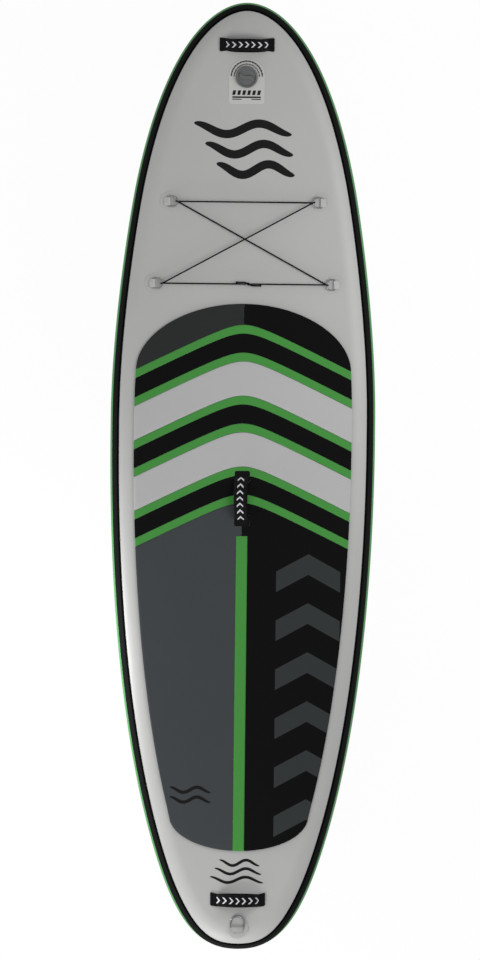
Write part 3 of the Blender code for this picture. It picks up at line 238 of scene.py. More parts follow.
# Lights: name, place, what it looks at, and size. Then the floor
LIGHTS = (("side", (-1.15, -0.58, 0.45), (0.0, -0.58, 0.34), 0.34),
          ("key", (1.3, 0.6, 1.6), (0.0, 0.2, 0.35), 1.0),
          ("fill", (-1.5, 1.0, 0.8), (0.0, 0.9, 0.35), 0.8),
          ("tail", (-0.6, -2.4, 0.95), (0.0, -1.2, 0.35), 0.9))
FLOOR_REACH, FLOOR_Z, FLOOR_SHADE, FLOOR_SEEN = 60.0, -0.001, 0.92, 0.96

# Relief of the finishes: how high the bumps stand and how strongly they show. A twill's height is a
# share of its pitch
FABRIC_RELIEF, FOAM_RELIEF, STEEL_RELIEF = (0.00012, 0.5), (0.00030, 0.6), (0.00003, 0.4)
TWILL_DEPTH, TWILL_STRENGTH, GRAIN_STRENGTH = 0.14, 0.8, 0.6


# Shapes

def rocker(y):
    """Height of the hull's curved line: a parabola over the nose and a flatter one over the tail."""
    front = np.clip((y - NOSE_Y + NOSE_LIFT_LENGTH) / NOSE_LIFT_LENGTH, 0, None)
    back = np.clip((TAIL_Y + TAIL_LIFT_LENGTH - y) / TAIL_LIFT_LENGTH, 0, None)
    return NOSE_LIFT * front ** 2 + TAIL_LIFT * back ** 2


def polar(radius, angle, centre=(0.0, 0.0)):
    """Plan points at a distance and an angle from a centre."""
    return np.stack([centre[0] + radius * np.cos(angle), centre[1] + radius * np.sin(angle)], axis=-1)


def bezier(a, b, c, d, t):
    """Points of a cubic curve and its left-hand normals, from its four control points."""
    a, b, c, d = (np.array(p, float) for p in (a, b, c, d))
    t = t[:, None]
    s = 1 - t
    points = s ** 3 * a + 3 * s ** 2 * t * b + 3 * s * t ** 2 * c + t ** 3 * d
    along = s ** 2 * (b - a) + 2 * s * t * (c - b) + t ** 2 * (d - c)
    along /= np.linalg.norm(along, axis=1)[:, None]
    return points, np.stack([-along[:, 1], along[:, 0]], axis=1)


def half_outline(count=60):
    """The right half of the plan outline from nose to tail: two cubic curves at each end."""
    halves = []
    for tip, sign, shoulder, heading, reach in (
            (NOSE_Y, 1, NOSE_SHOULDER, NOSE_HEADING, NOSE_REACH),
            (TAIL_Y, -1, TAIL_SHOULDER, TAIL_HEADING, TAIL_REACH)):
        knot = np.array((shoulder[0], tip - sign * shoulder[1]))
        turn = np.array((math.cos(heading), -sign * math.sin(heading)))
        t = np.linspace(0, 1, count + 1)
        first = bezier((0, tip), (reach[0], tip), knot - reach[1] * turn, knot, t)
        second = bezier(knot, knot + reach[2] * turn, (HALF_WIDTH, WIDEST_AHEAD + sign * reach[3]),
                        (HALF_WIDTH, WIDEST_AHEAD), t)
        halves.append([np.vstack([a, b[1:]]) for a, b in zip(first, second)])
    points = np.vstack([halves[0][0], halves[1][0][-2::-1]])
    normals = np.vstack([halves[0][1], -halves[1][1][-2::-1]])
    return points, normals


HALF_LINE, HALF_OUT = half_outline()
MIRROR = np.array((-1, 1))
OUTLINE = np.vstack([HALF_LINE, HALF_LINE[-2:0:-1] * MIRROR])
OUTWARD = np.vstack([HALF_OUT, HALF_OUT[-2:0:-1] * MIRROR])


def half_width(y, inset):
    """Half width of the board at y, drawn in from its edge."""
    line = HALF_LINE - HALF_OUT * inset
    order = np.argsort(line[:, 1])
    return np.interp(y, line[order, 1], line[order, 0])


def rail_points(angles, radii):
    """Rows of points round the board: a half circle of the rim carried along the outline.

    Angles and radii are one for each row, or one for each point.
    """
    a, r = np.radians(np.asarray(angles, float)), np.asarray(radii, float)
    a, r = (v[:, None] if v.ndim == 1 else v for v in (a, r))
    plan = OUTLINE[None] - OUTWARD[None] * (RIM - r * np.cos(a))[..., None]
    z = HULL_Z + r * np.sin(a) + rocker(plan[..., 1])
    return np.concatenate([plan, z[..., None]], axis=-1)


def deck_frame(x, y, turn):
    """Axes and origin of a fitting on the deck: its own z is square to the deck there."""
    slope = math.atan(float(rocker(y + DECK_STEP) - rocker(y - DECK_STEP)) / (2 * DECK_STEP))
    c, s = math.cos(slope), math.sin(slope)
    tilt = np.array(((1, 0, 0), (0, c, -s), (0, s, c)))
    c, s = math.cos(turn), math.sin(turn)
    axes = tilt @ np.array(((c, -s, 0), (s, c, 0), (0, 0, 1)))
    return axes, np.array((x, y, DECK_Z + float(rocker(y))))


def placed(points, place):
    """Points moved from a fitting's own axes into the frame."""
    axes, origin = place
    return points @ axes.T + origin


def on_deck(plan, height):
    """Plan points lifted to a height over the deck."""
    z = DECK_Z + rocker(plan[..., 1]) + height
    return np.concatenate([plan, z[..., None]], axis=-1)


def smooth_step(t):
    """A smooth rise from 0 to 1 as t goes from 0 to 1."""
    return t * t * (3 - 2 * t)


def run_along(line):
    """How far along a line each of its points lies."""
    return np.concatenate([[0], np.cumsum(np.linalg.norm(np.diff(line, axis=0), axis=1))])


def quads(rows, cols, wrap_rows=False, wrap_cols=False):
    """Corner numbers of every cell of a grid of points, as one array."""
    i = np.arange(rows if wrap_rows else rows - 1)[:, None]
    j = np.arange(cols if wrap_cols else cols - 1)[None, :]
    i2, j2 = (i + 1) % rows, (j + 1) % cols
    corners = (i * cols + j, i * cols + j2, i2 * cols + j2, i2 * cols + j)
    return np.stack(np.broadcast_arrays(*corners), axis=-1).reshape(-1, 4)


def capped(points):
    """A grid with a pole at both ends: the middle of its first row and of its last."""
    poles = points[[0, -1]].mean(axis=1, keepdims=True).repeat(points.shape[1], axis=1)
    return np.concatenate([poles[:1], points, poles[1:]])


def sheet(points, wrap_rows=False, wrap_cols=False, uv=None):
    """One surface: a grid of points with its cells, and each cell's corners as (u, v) in metres."""
    rows, cols = points.shape[:2]
    faces = quads(rows, cols, wrap_rows, wrap_cols)
    if uv is None:
        return points.reshape(-1, 3), faces, np.zeros((len(faces), 4, 2))
    u, v = uv
    i = np.arange(rows if wrap_rows else rows - 1)[:, None]
    j = np.arange(cols if wrap_cols else cols - 1)[None, :]
    i, j = np.broadcast_arrays(i, j)
    corner_u = np.stack([u[j], u[j + 1], u[j + 1], u[j]], axis=-1)
    corner_v = np.stack([v[i], v[i], v[i + 1], v[i + 1]], axis=-1)
    return points.reshape(-1, 3), faces, np.stack([corner_u, corner_v], axis=-1).reshape(-1, 4, 2)


def joined(sheets):
    """Several surfaces as one."""
    points, faces, corners = [], [], []
    start = 0
    for p, f, c in sheets:
        points.append(p)
        faces.append(f + start)
        corners.append(c)
        start += len(p)
    return np.vstack(points), np.vstack(faces), np.vstack(corners)


def border(rows, cols):
    """Numbers of the points round the edge of a grid, in order."""
    index = np.arange(rows * cols).reshape(rows, cols)
    return np.concatenate([index[0, :-1], index[:-1, -1], index[-1, :0:-1], index[:0:-1, 0]])


def edge_distance(points, loop):
    """Distance of each plan point from a closed line."""
    a, b = loop, np.roll(loop, -1, axis=0)
    along = b - a
    length2 = np.maximum((along ** 2).sum(axis=1), 1e-16)
    best = np.full(len(points), np.inf)
    for part in np.array_split(np.arange(len(a)), max(1, len(a) // 64)):
        t = ((points[:, None] - a[part]) * along[part]).sum(axis=-1) / length2[part]
        near = a[part] + np.clip(t, 0, 1)[..., None] * along[part]
        best = np.minimum(best, np.linalg.norm(points[:, None] - near, axis=-1).min(axis=1))
    return best


def shell(top, bottom):
    """A closed thin solid between two grids of points."""
    rows, cols = top.shape[:2]
    cells, rim = quads(rows, cols), border(rows, cols)
    count = rows * cols
    after = np.roll(rim, -1)
    walls = np.stack([rim, rim + count, after + count, after], axis=1)
    points = np.vstack([top.reshape(-1, 3), bottom.reshape(-1, 3)])
    faces = np.vstack([cells, cells[:, ::-1] + count, walls])
    return points, faces, points[faces][..., :2]


def slab(plan, low, thickness, edge):
    """A closed slab over a plan grid whose top rounds off over a quarter circle at its edge."""
    shape = plan.shape[:2]
    flat = plan.reshape(-1, 2)
    inside = np.minimum(edge_distance(flat, flat[border(*shape)]), edge).reshape(shape)
    drop = edge - np.sqrt(np.maximum(edge ** 2 - (edge - inside) ** 2, 0))
    return shell(on_deck(plan, low + thickness - drop), on_deck(plan, np.full(shape, low)))


def packed_steps(count, reach):
    """Steps from 0 to 1, with a few close to both ends, where an edge rounds off."""
    near = reach * np.array(NEAR_STEPS)
    middle = np.linspace(reach, 1 - reach, count + 1)[1:-1]
    return np.concatenate([near, middle, 1 - near[::-1]])


def coons(top, bottom, left, right, u, v):
    """Four edge lines filled in: the two ruled surfaces between them less the bilinear one."""
    top, bottom, left, right = (resampled(line, t) for line, t in
                                ((top, u), (bottom, u), (left, v), (right, v)))
    u, v = u[None, :, None], v[:, None, None]
    ruled = (1 - v) * top[None] + v * bottom[None] + (1 - u) * left[:, None] + u * right[:, None]
    flat = ((1 - u) * (1 - v) * top[0] + u * (1 - v) * top[-1]
            + (1 - u) * v * bottom[0] + u * v * bottom[-1])
    return ruled - flat


def resampled(line, steps):
    """Points of a line at shares of its length."""
    line = np.asarray(line, float)
    run = run_along(line)
    if run[-1] == 0:
        return np.repeat(line[:1], len(steps), axis=0)
    return np.stack([np.interp(steps * run[-1], run, column) for column in line.T], axis=1)


def frames_along(line, across, closed=False):
    """Unit side and up vectors of a path whose sideways direction stays near a given one."""
    if closed:
        along = np.roll(line, -1, axis=0) - np.roll(line, 1, axis=0)
    else:
        along = np.gradient(line, axis=0)
    along /= np.linalg.norm(along, axis=1)[:, None]
    across = np.broadcast_to(np.asarray(across, float), line.shape)
    up = np.cross(across, along)
    up /= np.linalg.norm(up, axis=1)[:, None]
    return np.cross(along, up), up


def tube(line, radius, sides, across=(0, 1, 0), closed=False):
    """A round rope or wire: a circle carried along a path, with poles at open ends."""
    line = np.asarray(line, float)
    side, up = frames_along(line, across, closed)
    a = np.linspace(0, 2 * math.pi, sides, endpoint=False)
    circle = np.cos(a)[None, :, None] * side[:, None] + np.sin(a)[None, :, None] * up[:, None]
    radius = np.broadcast_to(np.asarray(radius, float), (len(line),))
    points = line[:, None] + radius[:, None, None] * circle
    run = run_along(line)
    if closed:
        run = np.append(run, run[-1] + np.linalg.norm(line[0] - line[-1]))
    else:
        points, run = capped(points), np.pad(run, 1, mode="edge")
    around = np.linspace(0, 2 * math.pi * radius.max(), sides + 1)
    return sheet(points, closed, True, (around, run))


def rounded_section(width, height, edge, steps=3):
    """A flat bar's section: a rectangle with quarter circles at its corners."""
    a = np.radians(np.linspace(0, 90, steps + 1))
    arc = np.stack([np.cos(a), np.sin(a)], axis=1) * edge
    corners = []
    for k, (sx, sy) in enumerate(((1, 1), (-1, 1), (-1, -1), (1, -1))):
        c, s = (1, 0, -1, 0)[k], (0, 1, 0, -1)[k]
        turned = arc @ np.array(((c, s), (-s, c)))
        corners.append(turned + (sx * (width / 2 - edge), sy * (height / 2 - edge)))
    return np.vstack(corners)


def bar_along(line, sections, across):
    """A closed bar: a section that may change, carried along a path and closed at both ends."""
    side, up = frames_along(line, across)
    points = line[:, None] + sections[..., :1] * side[:, None] + sections[..., 1:] * up[:, None]
    middle = sections[len(sections) // 2]
    around = run_along(np.vstack([middle, middle[:1]]))
    return sheet(capped(points), False, True, (around, np.pad(run_along(line), 1, mode="edge")))


def stitches(line, up, pitch, length, radius):
    """A row of sewing stitches: one small spindle, repeated along a path by an outer product."""
    rings, sides = 5, 6
    line = np.asarray(line, float)
    count = max(2, int(round(run_along(line)[-1] / pitch)))
    mids = resampled(line, (np.arange(count) + 0.5) / count)
    ahead = resampled(line, np.clip((np.arange(count) + 0.6) / count, 0, 1)) - mids
    ahead /= np.maximum(np.linalg.norm(ahead, axis=1), 1e-9)[:, None]
    side = np.cross(np.broadcast_to(np.asarray(up, float), mids.shape), ahead)
    side /= np.linalg.norm(side, axis=1)[:, None]
    up = np.cross(ahead, side)
    t = np.linspace(-1, 1, rings)[:, None]
    a = np.linspace(0, 2 * math.pi, sides, endpoint=False)
    swell = radius * np.sqrt(np.maximum(1 - t ** 4, 0))
    local = np.stack([np.broadcast_to(t * length / 2, (rings, sides)), swell * np.cos(a),
                      swell * np.sin(a)], axis=-1).reshape(-1, 3)
    points = (mids[:, None] + local[None, :, :1] * ahead[:, None] + local[None, :, 1:2] * side[:, None]
              + local[None, :, 2:] * up[:, None])
    cell = quads(rings, sides, False, True)
    faces = (cell[None] + rings * sides * np.arange(count)[:, None, None]).reshape(-1, 4)
    return points.reshape(-1, 3), faces, np.zeros((len(faces), 4, 2))


# Making the objects

def clean(mesh):
    """Merge a mesh's doubles, drop its slivers and turn its faces outwards."""
    solid = bmesh.new()
    solid.from_mesh(mesh)
    bmesh.ops.remove_doubles(solid, verts=solid.verts, dist=WELD)
    bmesh.ops.dissolve_degenerate(solid, edges=solid.edges, dist=SLIVER)
    bmesh.ops.recalc_face_normals(solid, faces=solid.faces)
    solid.to_mesh(mesh)
    solid.free()


def linked(name, data):
    """An object in the scene with the given data."""
    obj = bpy.data.objects.new(name, data)
    bpy.context.scene.collection.objects.link(obj)
    return obj


def new_piece(name, parts, finish, body, replaces=None, smooth=40.0):
    """A mesh object from surfaces: doubles merged, faces turned outwards, smooth below an angle.

    The body is the name of the one that it rides on; given two names, a start and an end, the piece is
    only baked in place.
    """
    points, faces, corners = joined(parts)
    mesh = bpy.data.meshes.new(name)
    mesh.from_pydata(points.tolist(), [], faces.tolist())
    layer = mesh.uv_layers.new(name="UVMap")
    layer.data.foreach_set("uv", corners.reshape(-1).astype(np.float32))
    clean(mesh)
    mesh.shade_smooth()
    mesh.set_sharp_from_angle(angle=math.radians(smooth))
    mesh.materials.append(finish)
    obj = linked(name, mesh)
    if isinstance(body, str):
        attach(obj, body)
    else:
        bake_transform(obj)
    if replaces:
        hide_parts(replaces)
    return obj


def thicken(obj, thickness):
    """A skin's wall, made inwards with Solidify."""
    wall = obj.modifiers.new("wall", "SOLIDIFY")
    wall.thickness = thickness
    wall.offset = -1.0
    wall.use_even_offset = True


def dress(finish, *nodes):
    """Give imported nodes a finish."""
    for node in nodes:
        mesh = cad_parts[node].data
        mesh.materials.clear()
        mesh.materials.append(finish)


# Finishes

def linear(colour):
    """A colour from sRGB, 0 to 1, to linear light."""
    c = np.asarray(colour[:3], float)
    return (*np.where(c > 0.04045, ((c + 0.055) / 1.055) ** 2.4, c / 12.92).tolist(), 1.0)


def plug(tree, node, values):
    """Set a node's inputs: a socket is linked to its input, and anything else is the plain value."""
    for key, value in values.items():
        if isinstance(value, bpy.types.NodeSocket):
            tree.links.new(value, node.inputs[key])
        else:
            node.inputs[key].default_value = value


def add(tree, kind, values=None, **settings):
    """A node with its settings and its inputs."""
    node = tree.nodes.new(kind)
    for key, value in settings.items():
        setattr(node, key, value)
    plug(tree, node, values or {})
    return node


def new_group(name, inputs, outputs):
    """An empty node group with named sockets: the group, what it is given, and its end."""
    group = bpy.data.node_groups.new(name, "ShaderNodeTree")
    for socket, kind, value in inputs:
        made = group.interface.new_socket(name=socket, in_out="INPUT", socket_type="NodeSocket" + kind)
        if value is not None:
            made.default_value = value
    for socket, kind in outputs:
        group.interface.new_socket(name=socket, in_out="OUTPUT", socket_type="NodeSocket" + kind)
    return group, add(group, "NodeGroupInput").outputs, add(group, "NodeGroupOutput")


def math_node(tree, operation, a, b=None, clamp=False):
    """A Math node between sockets or numbers; gives its output."""
    values = {0: a} if b is None else {0: a, 1: b}
    return add(tree, "ShaderNodeMath", values, operation=operation, use_clamp=clamp).outputs[0]


def sine_of_turns(tree, turns):
    """The sine of a number of whole turns."""
    return math_node(tree, "SINE", math_node(tree, "MULTIPLY", turns, 2 * math.pi))


def mottle_group():
    """Slow and fine unevenness of a colour, as on printed or dyed goods that have been used."""
    group, given, end = new_group(
        "mottle", [("Colour", "Color", None), ("Place", "Vector", None), ("Scale", "Float", 6.0),
                   ("Depth", "Float", 0.06), ("Roughness", "Float", 0.5), ("Spread", "Float", 0.05)],
        [("Colour", "Color"), ("Roughness", "Float")])
    broad = add(group, "ShaderNodeTexNoise", {"Vector": given["Place"], "Scale": given["Scale"],
                                              "Detail": 4.0, "Roughness": 0.6})
    centred = math_node(group, "SUBTRACT", broad.outputs["Fac"], 0.5)
    gain = math_node(group, "MULTIPLY", centred, given["Depth"])
    gain = math_node(group, "ADD", math_node(group, "MULTIPLY", gain, 2.0), 1.0)
    scaled = add(group, "ShaderNodeVectorMath", {0: given["Colour"], "Scale": gain}, operation="SCALE")
    rough = math_node(group, "MULTIPLY", centred, given["Spread"])
    plug(group, end, {"Colour": scaled.outputs[0],
                      "Roughness": math_node(group, "ADD", rough, given["Roughness"], True)})
    return group


def cloth_relief_group():
    """The relief of coated fabric: two crossed sets of threads under a smooth skin."""
    group, given, end = new_group(
        "cloth_relief", [("Place", "Vector", None), ("Pitch", "Float", 0.0016),
                         ("Depth", "Float", 0.25)],
        [("Height", "Float")])
    split = add(group, "ShaderNodeSeparateXYZ", {0: given["Place"]})
    waves = [sine_of_turns(group, math_node(group, "DIVIDE", split.outputs[axis], given["Pitch"]))
             for axis in ("X", "Y")]
    both = math_node(group, "ADD", *waves)
    plug(group, end, {"Height": math_node(group, "MULTIPLY", both, given["Depth"])})
    return group


def twill_group():
    """Woven webbing or braid: crossed slanting ribs along the piece's own UV, in metres."""
    group, given, end = new_group(
        "twill", [("UV", "Vector", None), ("Pitch", "Float", 0.0018), ("Slant", "Float", 1.0)],
        [("Height", "Float")])
    split = add(group, "ShaderNodeSeparateXYZ", {0: given["UV"]})
    u, v = (math_node(group, "DIVIDE", split.outputs[axis], given["Pitch"]) for axis in ("X", "Y"))
    lean = math_node(group, "MULTIPLY", u, given["Slant"])
    ribs = [sine_of_turns(group, math_node(group, sign, v, lean)) for sign in ("ADD", "SUBTRACT")]
    plug(group, end, {"Height": math_node(group, "MAXIMUM", *ribs)})
    return group


def foam_group():
    """Closed-cell foam: fine cells with brushed lines across the board."""
    group, given, end = new_group(
        "foam", [("Place", "Vector", None), ("Cells", "Float", 900.0), ("Lines", "Float", 0.5)],
        [("Height", "Float")])
    cells = add(group, "ShaderNodeTexVoronoi", {"Vector": given["Place"], "Scale": given["Cells"]},
                feature="F1")
    stretched = add(group, "ShaderNodeMapping", {"Vector": given["Place"],
                                                 "Scale": (60.0, 1400.0, 60.0)})
    brushed = add(group, "ShaderNodeTexNoise", {"Vector": stretched.outputs["Vector"], "Scale": 1.0,
                                                "Detail": 2.0})
    lines = math_node(group, "MULTIPLY", brushed.outputs["Fac"], given["Lines"])
    plug(group, end, {"Height": math_node(group, "ADD", cells.outputs["Distance"], lines)})
    return group


GROUPS = {"mottle": mottle_group, "cloth_relief": cloth_relief_group, "twill": twill_group,
          "foam": foam_group}


def group_in(tree, name, values):
    """A shared node group placed in a material; each is built once."""
    group = bpy.data.node_groups.get(name) or GROUPS[name]()
    return add(tree, "ShaderNodeGroup", values, node_tree=group)


def base_material(name, colour, roughness, specular, scale, depth=0.06, spread=0.05, metallic=0.0):
    """A material with the shader's plain sockets set, and an uneven colour and roughness linked.

    It gives the material, its tree, the shader, the place on the piece and the mottle.
    """
    material = bpy.data.materials.new(name)
    material.use_nodes = True
    material.diffuse_color = linear(colour)
    tree = material.node_tree
    shader = tree.nodes["Principled BSDF"]
    place = add(tree, "ShaderNodeTexCoord").outputs["Object"]
    mottle = group_in(tree, "mottle", {"Place": place, "Colour": linear(colour), "Roughness": roughness,
                                       "Scale": scale, "Depth": depth, "Spread": spread})
    plug(tree, shader, {"Specular IOR Level": specular, "Metallic": metallic,
                        "Base Color": mottle.outputs["Colour"],
                        "Roughness": mottle.outputs["Roughness"]})
    return material, tree, shader, place, mottle


def relief(tree, shader, height, distance, strength):
    """Bump from a height socket into the shader's Normal."""
    bump = add(tree, "ShaderNodeBump", {"Height": height, "Distance": distance, "Strength": strength})
    plug(tree, shader, {"Normal": bump.outputs["Normal"]})


def own_uv(tree):
    """The piece's own UV map, in metres."""
    return add(tree, "ShaderNodeUVMap", uv_map="UVMap").outputs["UV"]


def coated_fabric(name, colour, roughness=0.42, specular=0.35, depth=0.05):
    """PVC-coated fabric: the threads show faintly through a satin skin."""
    material, tree, shader, place, _ = base_material(name, colour, roughness, specular, 3.0, depth)
    cloth = group_in(tree, "cloth_relief", {"Place": place})
    relief(tree, shader, cloth.outputs["Height"], *FABRIC_RELIEF)
    return material


def foam(name, colour, depth=0.05, pattern=None):
    """Brushed closed-cell foam. A pattern gives its colour from the tree and the place."""
    material, tree, shader, place, mottle = base_material(name, colour, 0.90, 0.06, 5.0, depth)
    cells = group_in(tree, "foam", {"Place": place})
    relief(tree, shader, cells.outputs["Height"], *FOAM_RELIEF)
    if pattern:
        plug(tree, mottle, {"Colour": pattern(tree, place)})
    return material


def woven(name, colour, pitch=0.0018, slant=1.0, roughness=0.82, sheen=0.05):
    """Webbing or braid, on the piece's own UV."""
    material, tree, shader, _, _ = base_material(name, colour, roughness, 0.08, 60.0, 0.10)
    plug(tree, shader, {"Sheen Weight": sheen, "Sheen Roughness": 0.5})
    ribs = group_in(tree, "twill", {"UV": own_uv(tree), "Pitch": pitch, "Slant": slant})
    relief(tree, shader, ribs.outputs["Height"], pitch * TWILL_DEPTH, TWILL_STRENGTH)
    return material


def moulded(name, colour, roughness=0.45, specular=0.4, grain=0.00006):
    """Moulded plastic or rubber with a fine spark-eroded grain."""
    material, tree, shader, place, _ = base_material(name, colour, roughness, specular, 25.0)
    speckle = add(tree, "ShaderNodeTexNoise", {"Vector": place, "Scale": 1800.0, "Detail": 2.0})
    relief(tree, shader, speckle.outputs["Fac"], grain, GRAIN_STRENGTH)
    return material


def bare_steel(name, colour, roughness=0.28):
    """Polished stainless wire with fine drawing lines."""
    material, tree, shader, _, _ = base_material(name, colour, roughness, 0.5, 80.0, spread=0.25,
                                                 metallic=1.0)
    drawn = add(tree, "ShaderNodeMapping", {"Vector": own_uv(tree), "Scale": (6000.0, 120.0, 1.0)})
    noise = add(tree, "ShaderNodeTexNoise", {"Vector": drawn.outputs["Vector"], "Scale": 1.0,
                                             "Detail": 2.0})
    relief(tree, shader, noise.outputs["Fac"], *STEEL_RELIEF)
    return material


# Settings that a user would change

def colour_setting(name, text, value):
    """A colour in sRGB as it is written in the finishes."""
    return FloatVectorProperty(name=name, description=text, size=3, min=0.0, max=1.0,
                               subtype="COLOR_GAMMA", default=tuple(c / 255 for c in value))


def length_setting(name, text, value, low=0.0, high=1.0):
    """A length in metres."""
    return FloatProperty(name=name, description=text, default=value, min=low, max=high,
                         precision=4, unit="LENGTH")


def share_setting(name, text):
    """A share of what the photographed board shows."""
    return FloatProperty(name=name, description=text + ", as a share", default=1.0, min=0.0, max=1.2)


def power_setting(name, text, value):
    """The power of a light."""
    return FloatProperty(name=name, description="Power of the light " + text + ", in watts",
                         default=value, min=0.0, max=500.0)


class BoardHullSettings(bpy.types.PropertyGroup):
    deck: colour_setting("Deck", "Colour of the deck and bottom fabric", (176, 176, 175))
    rail: colour_setting("Rail", "Colour of the side wall", (78, 140, 82))
    tape: colour_setting("Tape", "Colour of the seam tapes", (20, 21, 21))
    tape_edge: colour_setting("Tape edge", "Colour of the narrow tape on each seam tape", (5, 5, 5))
    edge_strip: length_setting("Edge strip", "Width of the narrow tape in plan", 0.0055, 0.001, 0.015)


class BoardPadSettings(bpy.types.PropertyGroup):
    black: colour_setting("Black foam", "Colour of the black foam", (14, 14, 15))
    dark: colour_setting("Dark grey foam", "Colour of the left rear panel", (65, 69, 71))
    front: colour_setting("Front grey foam", "Colour of the left front piece", (46, 48, 48))
    tone: colour_setting("Tone on tone", "Colour of the bent bars in the right panel", (53, 56, 56))
    light: colour_setting("Light grey foam", "Colour of the two light bands", (180, 180, 181))
    green: colour_setting("Green foam", "Colour of the stripes", (72, 143, 67))
    round_edge: length_setting("Edge", "Rounding of the foam's edges", 0.0016, 0.0002, 0.004)
    groove: length_setting("Groove", "Gap between neighbouring foam pieces", 0.0006, 0.0, 0.004)


class BoardMarkSettings(bpy.types.PropertyGroup):
    ink: colour_setting("Ink", "Colour of the printed waves", (12, 12, 12))
    nose_width: length_setting("Nose waves", "Width of the waves near the nose", 0.300, 0.05, 0.4)
    tail_width: length_setting("Tail waves", "Width of the waves near the tail", 0.144, 0.05, 0.3)
    film: length_setting("Film", "Thickness of the printed film", 0.00025, 0.0001, 0.001)


class BoardHandleSettings(bpy.types.PropertyGroup):
    sleeve: colour_setting("Sleeve", "Colour of the padded sleeves and webbing", (11, 11, 12))
    thread: colour_setting("Thread", "Colour of the stitching", (30, 30, 31))
    print_colour: colour_setting("Chevrons", "Colour of the printed chevrons", (205, 206, 210))
    chevrons: IntProperty(name="Chevrons", description="Printed on each handle",
                          default=7, min=0, max=12)
    width: share_setting("Width", "Width of the sleeves")
    flare: share_setting("Flare", "How much the sleeves widen at their ends")
    sway: share_setting("Sway", "How far the sleeves hang to one side")


class BoardFittingSettings(bpy.types.PropertyGroup):
    steel: colour_setting("Steel", "Colour of the rings", (116, 117, 119))
    webbing: colour_setting("Loops", "Colour of the loops that hold the rings", (188, 188, 187))
    cord: colour_setting("Cord", "Colour of the cargo cord", (5, 5, 6))
    valve: colour_setting("Valve", "Colour of the valve", (88, 89, 90))
    label: colour_setting("Label", "Colour of the valve's label", (190, 190, 187))
    cap_ribs: IntProperty(name="Cap ribs", description="Ribs round the valve cap",
                          default=36, min=8, max=90)


class BoardFinSettings(bpy.types.PropertyGroup):
    fin: colour_setting("Fins", "Colour of the fins and the fin box", (24, 24, 26))
    levels: IntProperty(name="Levels", description="Sections down a fin", default=36, min=8, max=90)


class BoardStageSettings(bpy.types.PropertyGroup):
    lens: FloatProperty(name="Lens", description="Focal length, in millimetres",
                        default=800.0, min=50.0, max=2000.0)
    key: power_setting("Key light", "at the right", 13.2)
    fill: power_setting("Fill light", "at the left of the nose, low down", 1.4)
    tail: power_setting("Tail light", "past the tail", 16.8)
    side: power_setting("Side light", "at the left rail, low down", 9.8)
    surround: FloatProperty(name="Surround", description="Strength of the light from all round",
                            default=0.56, min=0.0, max=2.0)
    shadows: BoolProperty(name="Floor shadow", description="Keep the board's shadow on the floor",
                          default=True)


class BoardOperator:
    """What the makers share."""
    bl_options = {"REGISTER", "UNDO"}


# Hull

class BOARD_OT_hull(BoardOperator, bpy.types.Operator):
    """Make the deck, the bottom, the side wall and the tapes over their seams"""
    bl_idname = "board.make_hull"
    bl_label = "Hull"

    def execute(self, context):
        look = context.scene.board_hull
        grey = coated_fabric("deck_grey", look.deck)
        green = coated_fabric("rail_green", look.rail, 0.5, 0.08)
        tape = coated_fabric("tape_black", look.tape, 0.60, 0.02, 0.03)
        edge = coated_fabric("tape_edge_black", look.tape_edge, 0.65, 0.01, 0.02)
        for sign, node, centre, hole in ((1, "deck_skin", (0.0, VALVE_Y), VALVE_HOLE),
                                         (-1, "bottom_skin", (0.0, 0.0), 0.0)):
            skin = covering(sign, np.array(centre), hole)
            obj = new_piece(node + "_smooth", [skin], grey, "board", node)
            turn_to_face(obj, sign)
            thicken(obj, SKIN)
        reach, steps = SEAM_ANGLE - SEAM_GROOVE, 25
        wall = np.linspace(-reach, reach, steps)
        section = rail_points(np.concatenate([wall, wall[::-1]]), np.repeat((RIM, RIM - SKIN), steps))
        new_piece("side_wall_smooth", [sheet(section, True, True)], green, "board", "side_wall",
                  60)
        full = 2 * TAPE_HALF_ANGLE
        strip = math.degrees(look.edge_strip / RIM / math.sin(math.radians(STRIP_ANGLE)))
        for sign, side in ((1, "deck"), (-1, "bottom")):
            node = side + "_seam_tape"
            new_piece(node + "_smooth", [tape_band(sign, 0.0, full, TAPE, TAIL_LOW_DROP)], tape,
                      "board", node, 60)
            new_piece(node + "_edge", [tape_band(sign, full - strip, full, EDGE_TAPE, TAIL_DROP)],
                      edge, "board", None, 60)
            dress(grey, side + "_inner_tape")
        dress(woven("core_cloth", CORE_CLOTH, 0.003), "drop_stitch_core")
        return {"FINISHED"}


def covering(sign, centre, hole):
    """Deck or bottom: the rail above its seam, then straight lines in to a hole or a point."""
    rail = rail_points(sign * np.linspace(SEAM_ANGLE + SEAM_GROOVE, 90, 18), RIM)
    flat = rail[-1, :, :2]
    away = flat - centre
    rim = centre + hole * away / np.linalg.norm(away, axis=1)[:, None]
    share = np.linspace(0, 1, 48)[1:, None, None]
    plan = flat * (1 - share) + rim * share
    z = HULL_Z + sign * RIM + rocker(plan[..., 1])
    inner = np.concatenate([plan, z[..., None]], axis=-1)
    return sheet(np.concatenate([rail, inner]), False, True)


def turn_to_face(obj, sign):
    """Point an open surface's faces up or down."""
    mesh = obj.data
    normals = np.zeros(len(mesh.polygons) * 3)
    mesh.polygons.foreach_get("normal", normals)
    if normals[2::3].sum() * sign < 0:
        mesh.flip_normals()


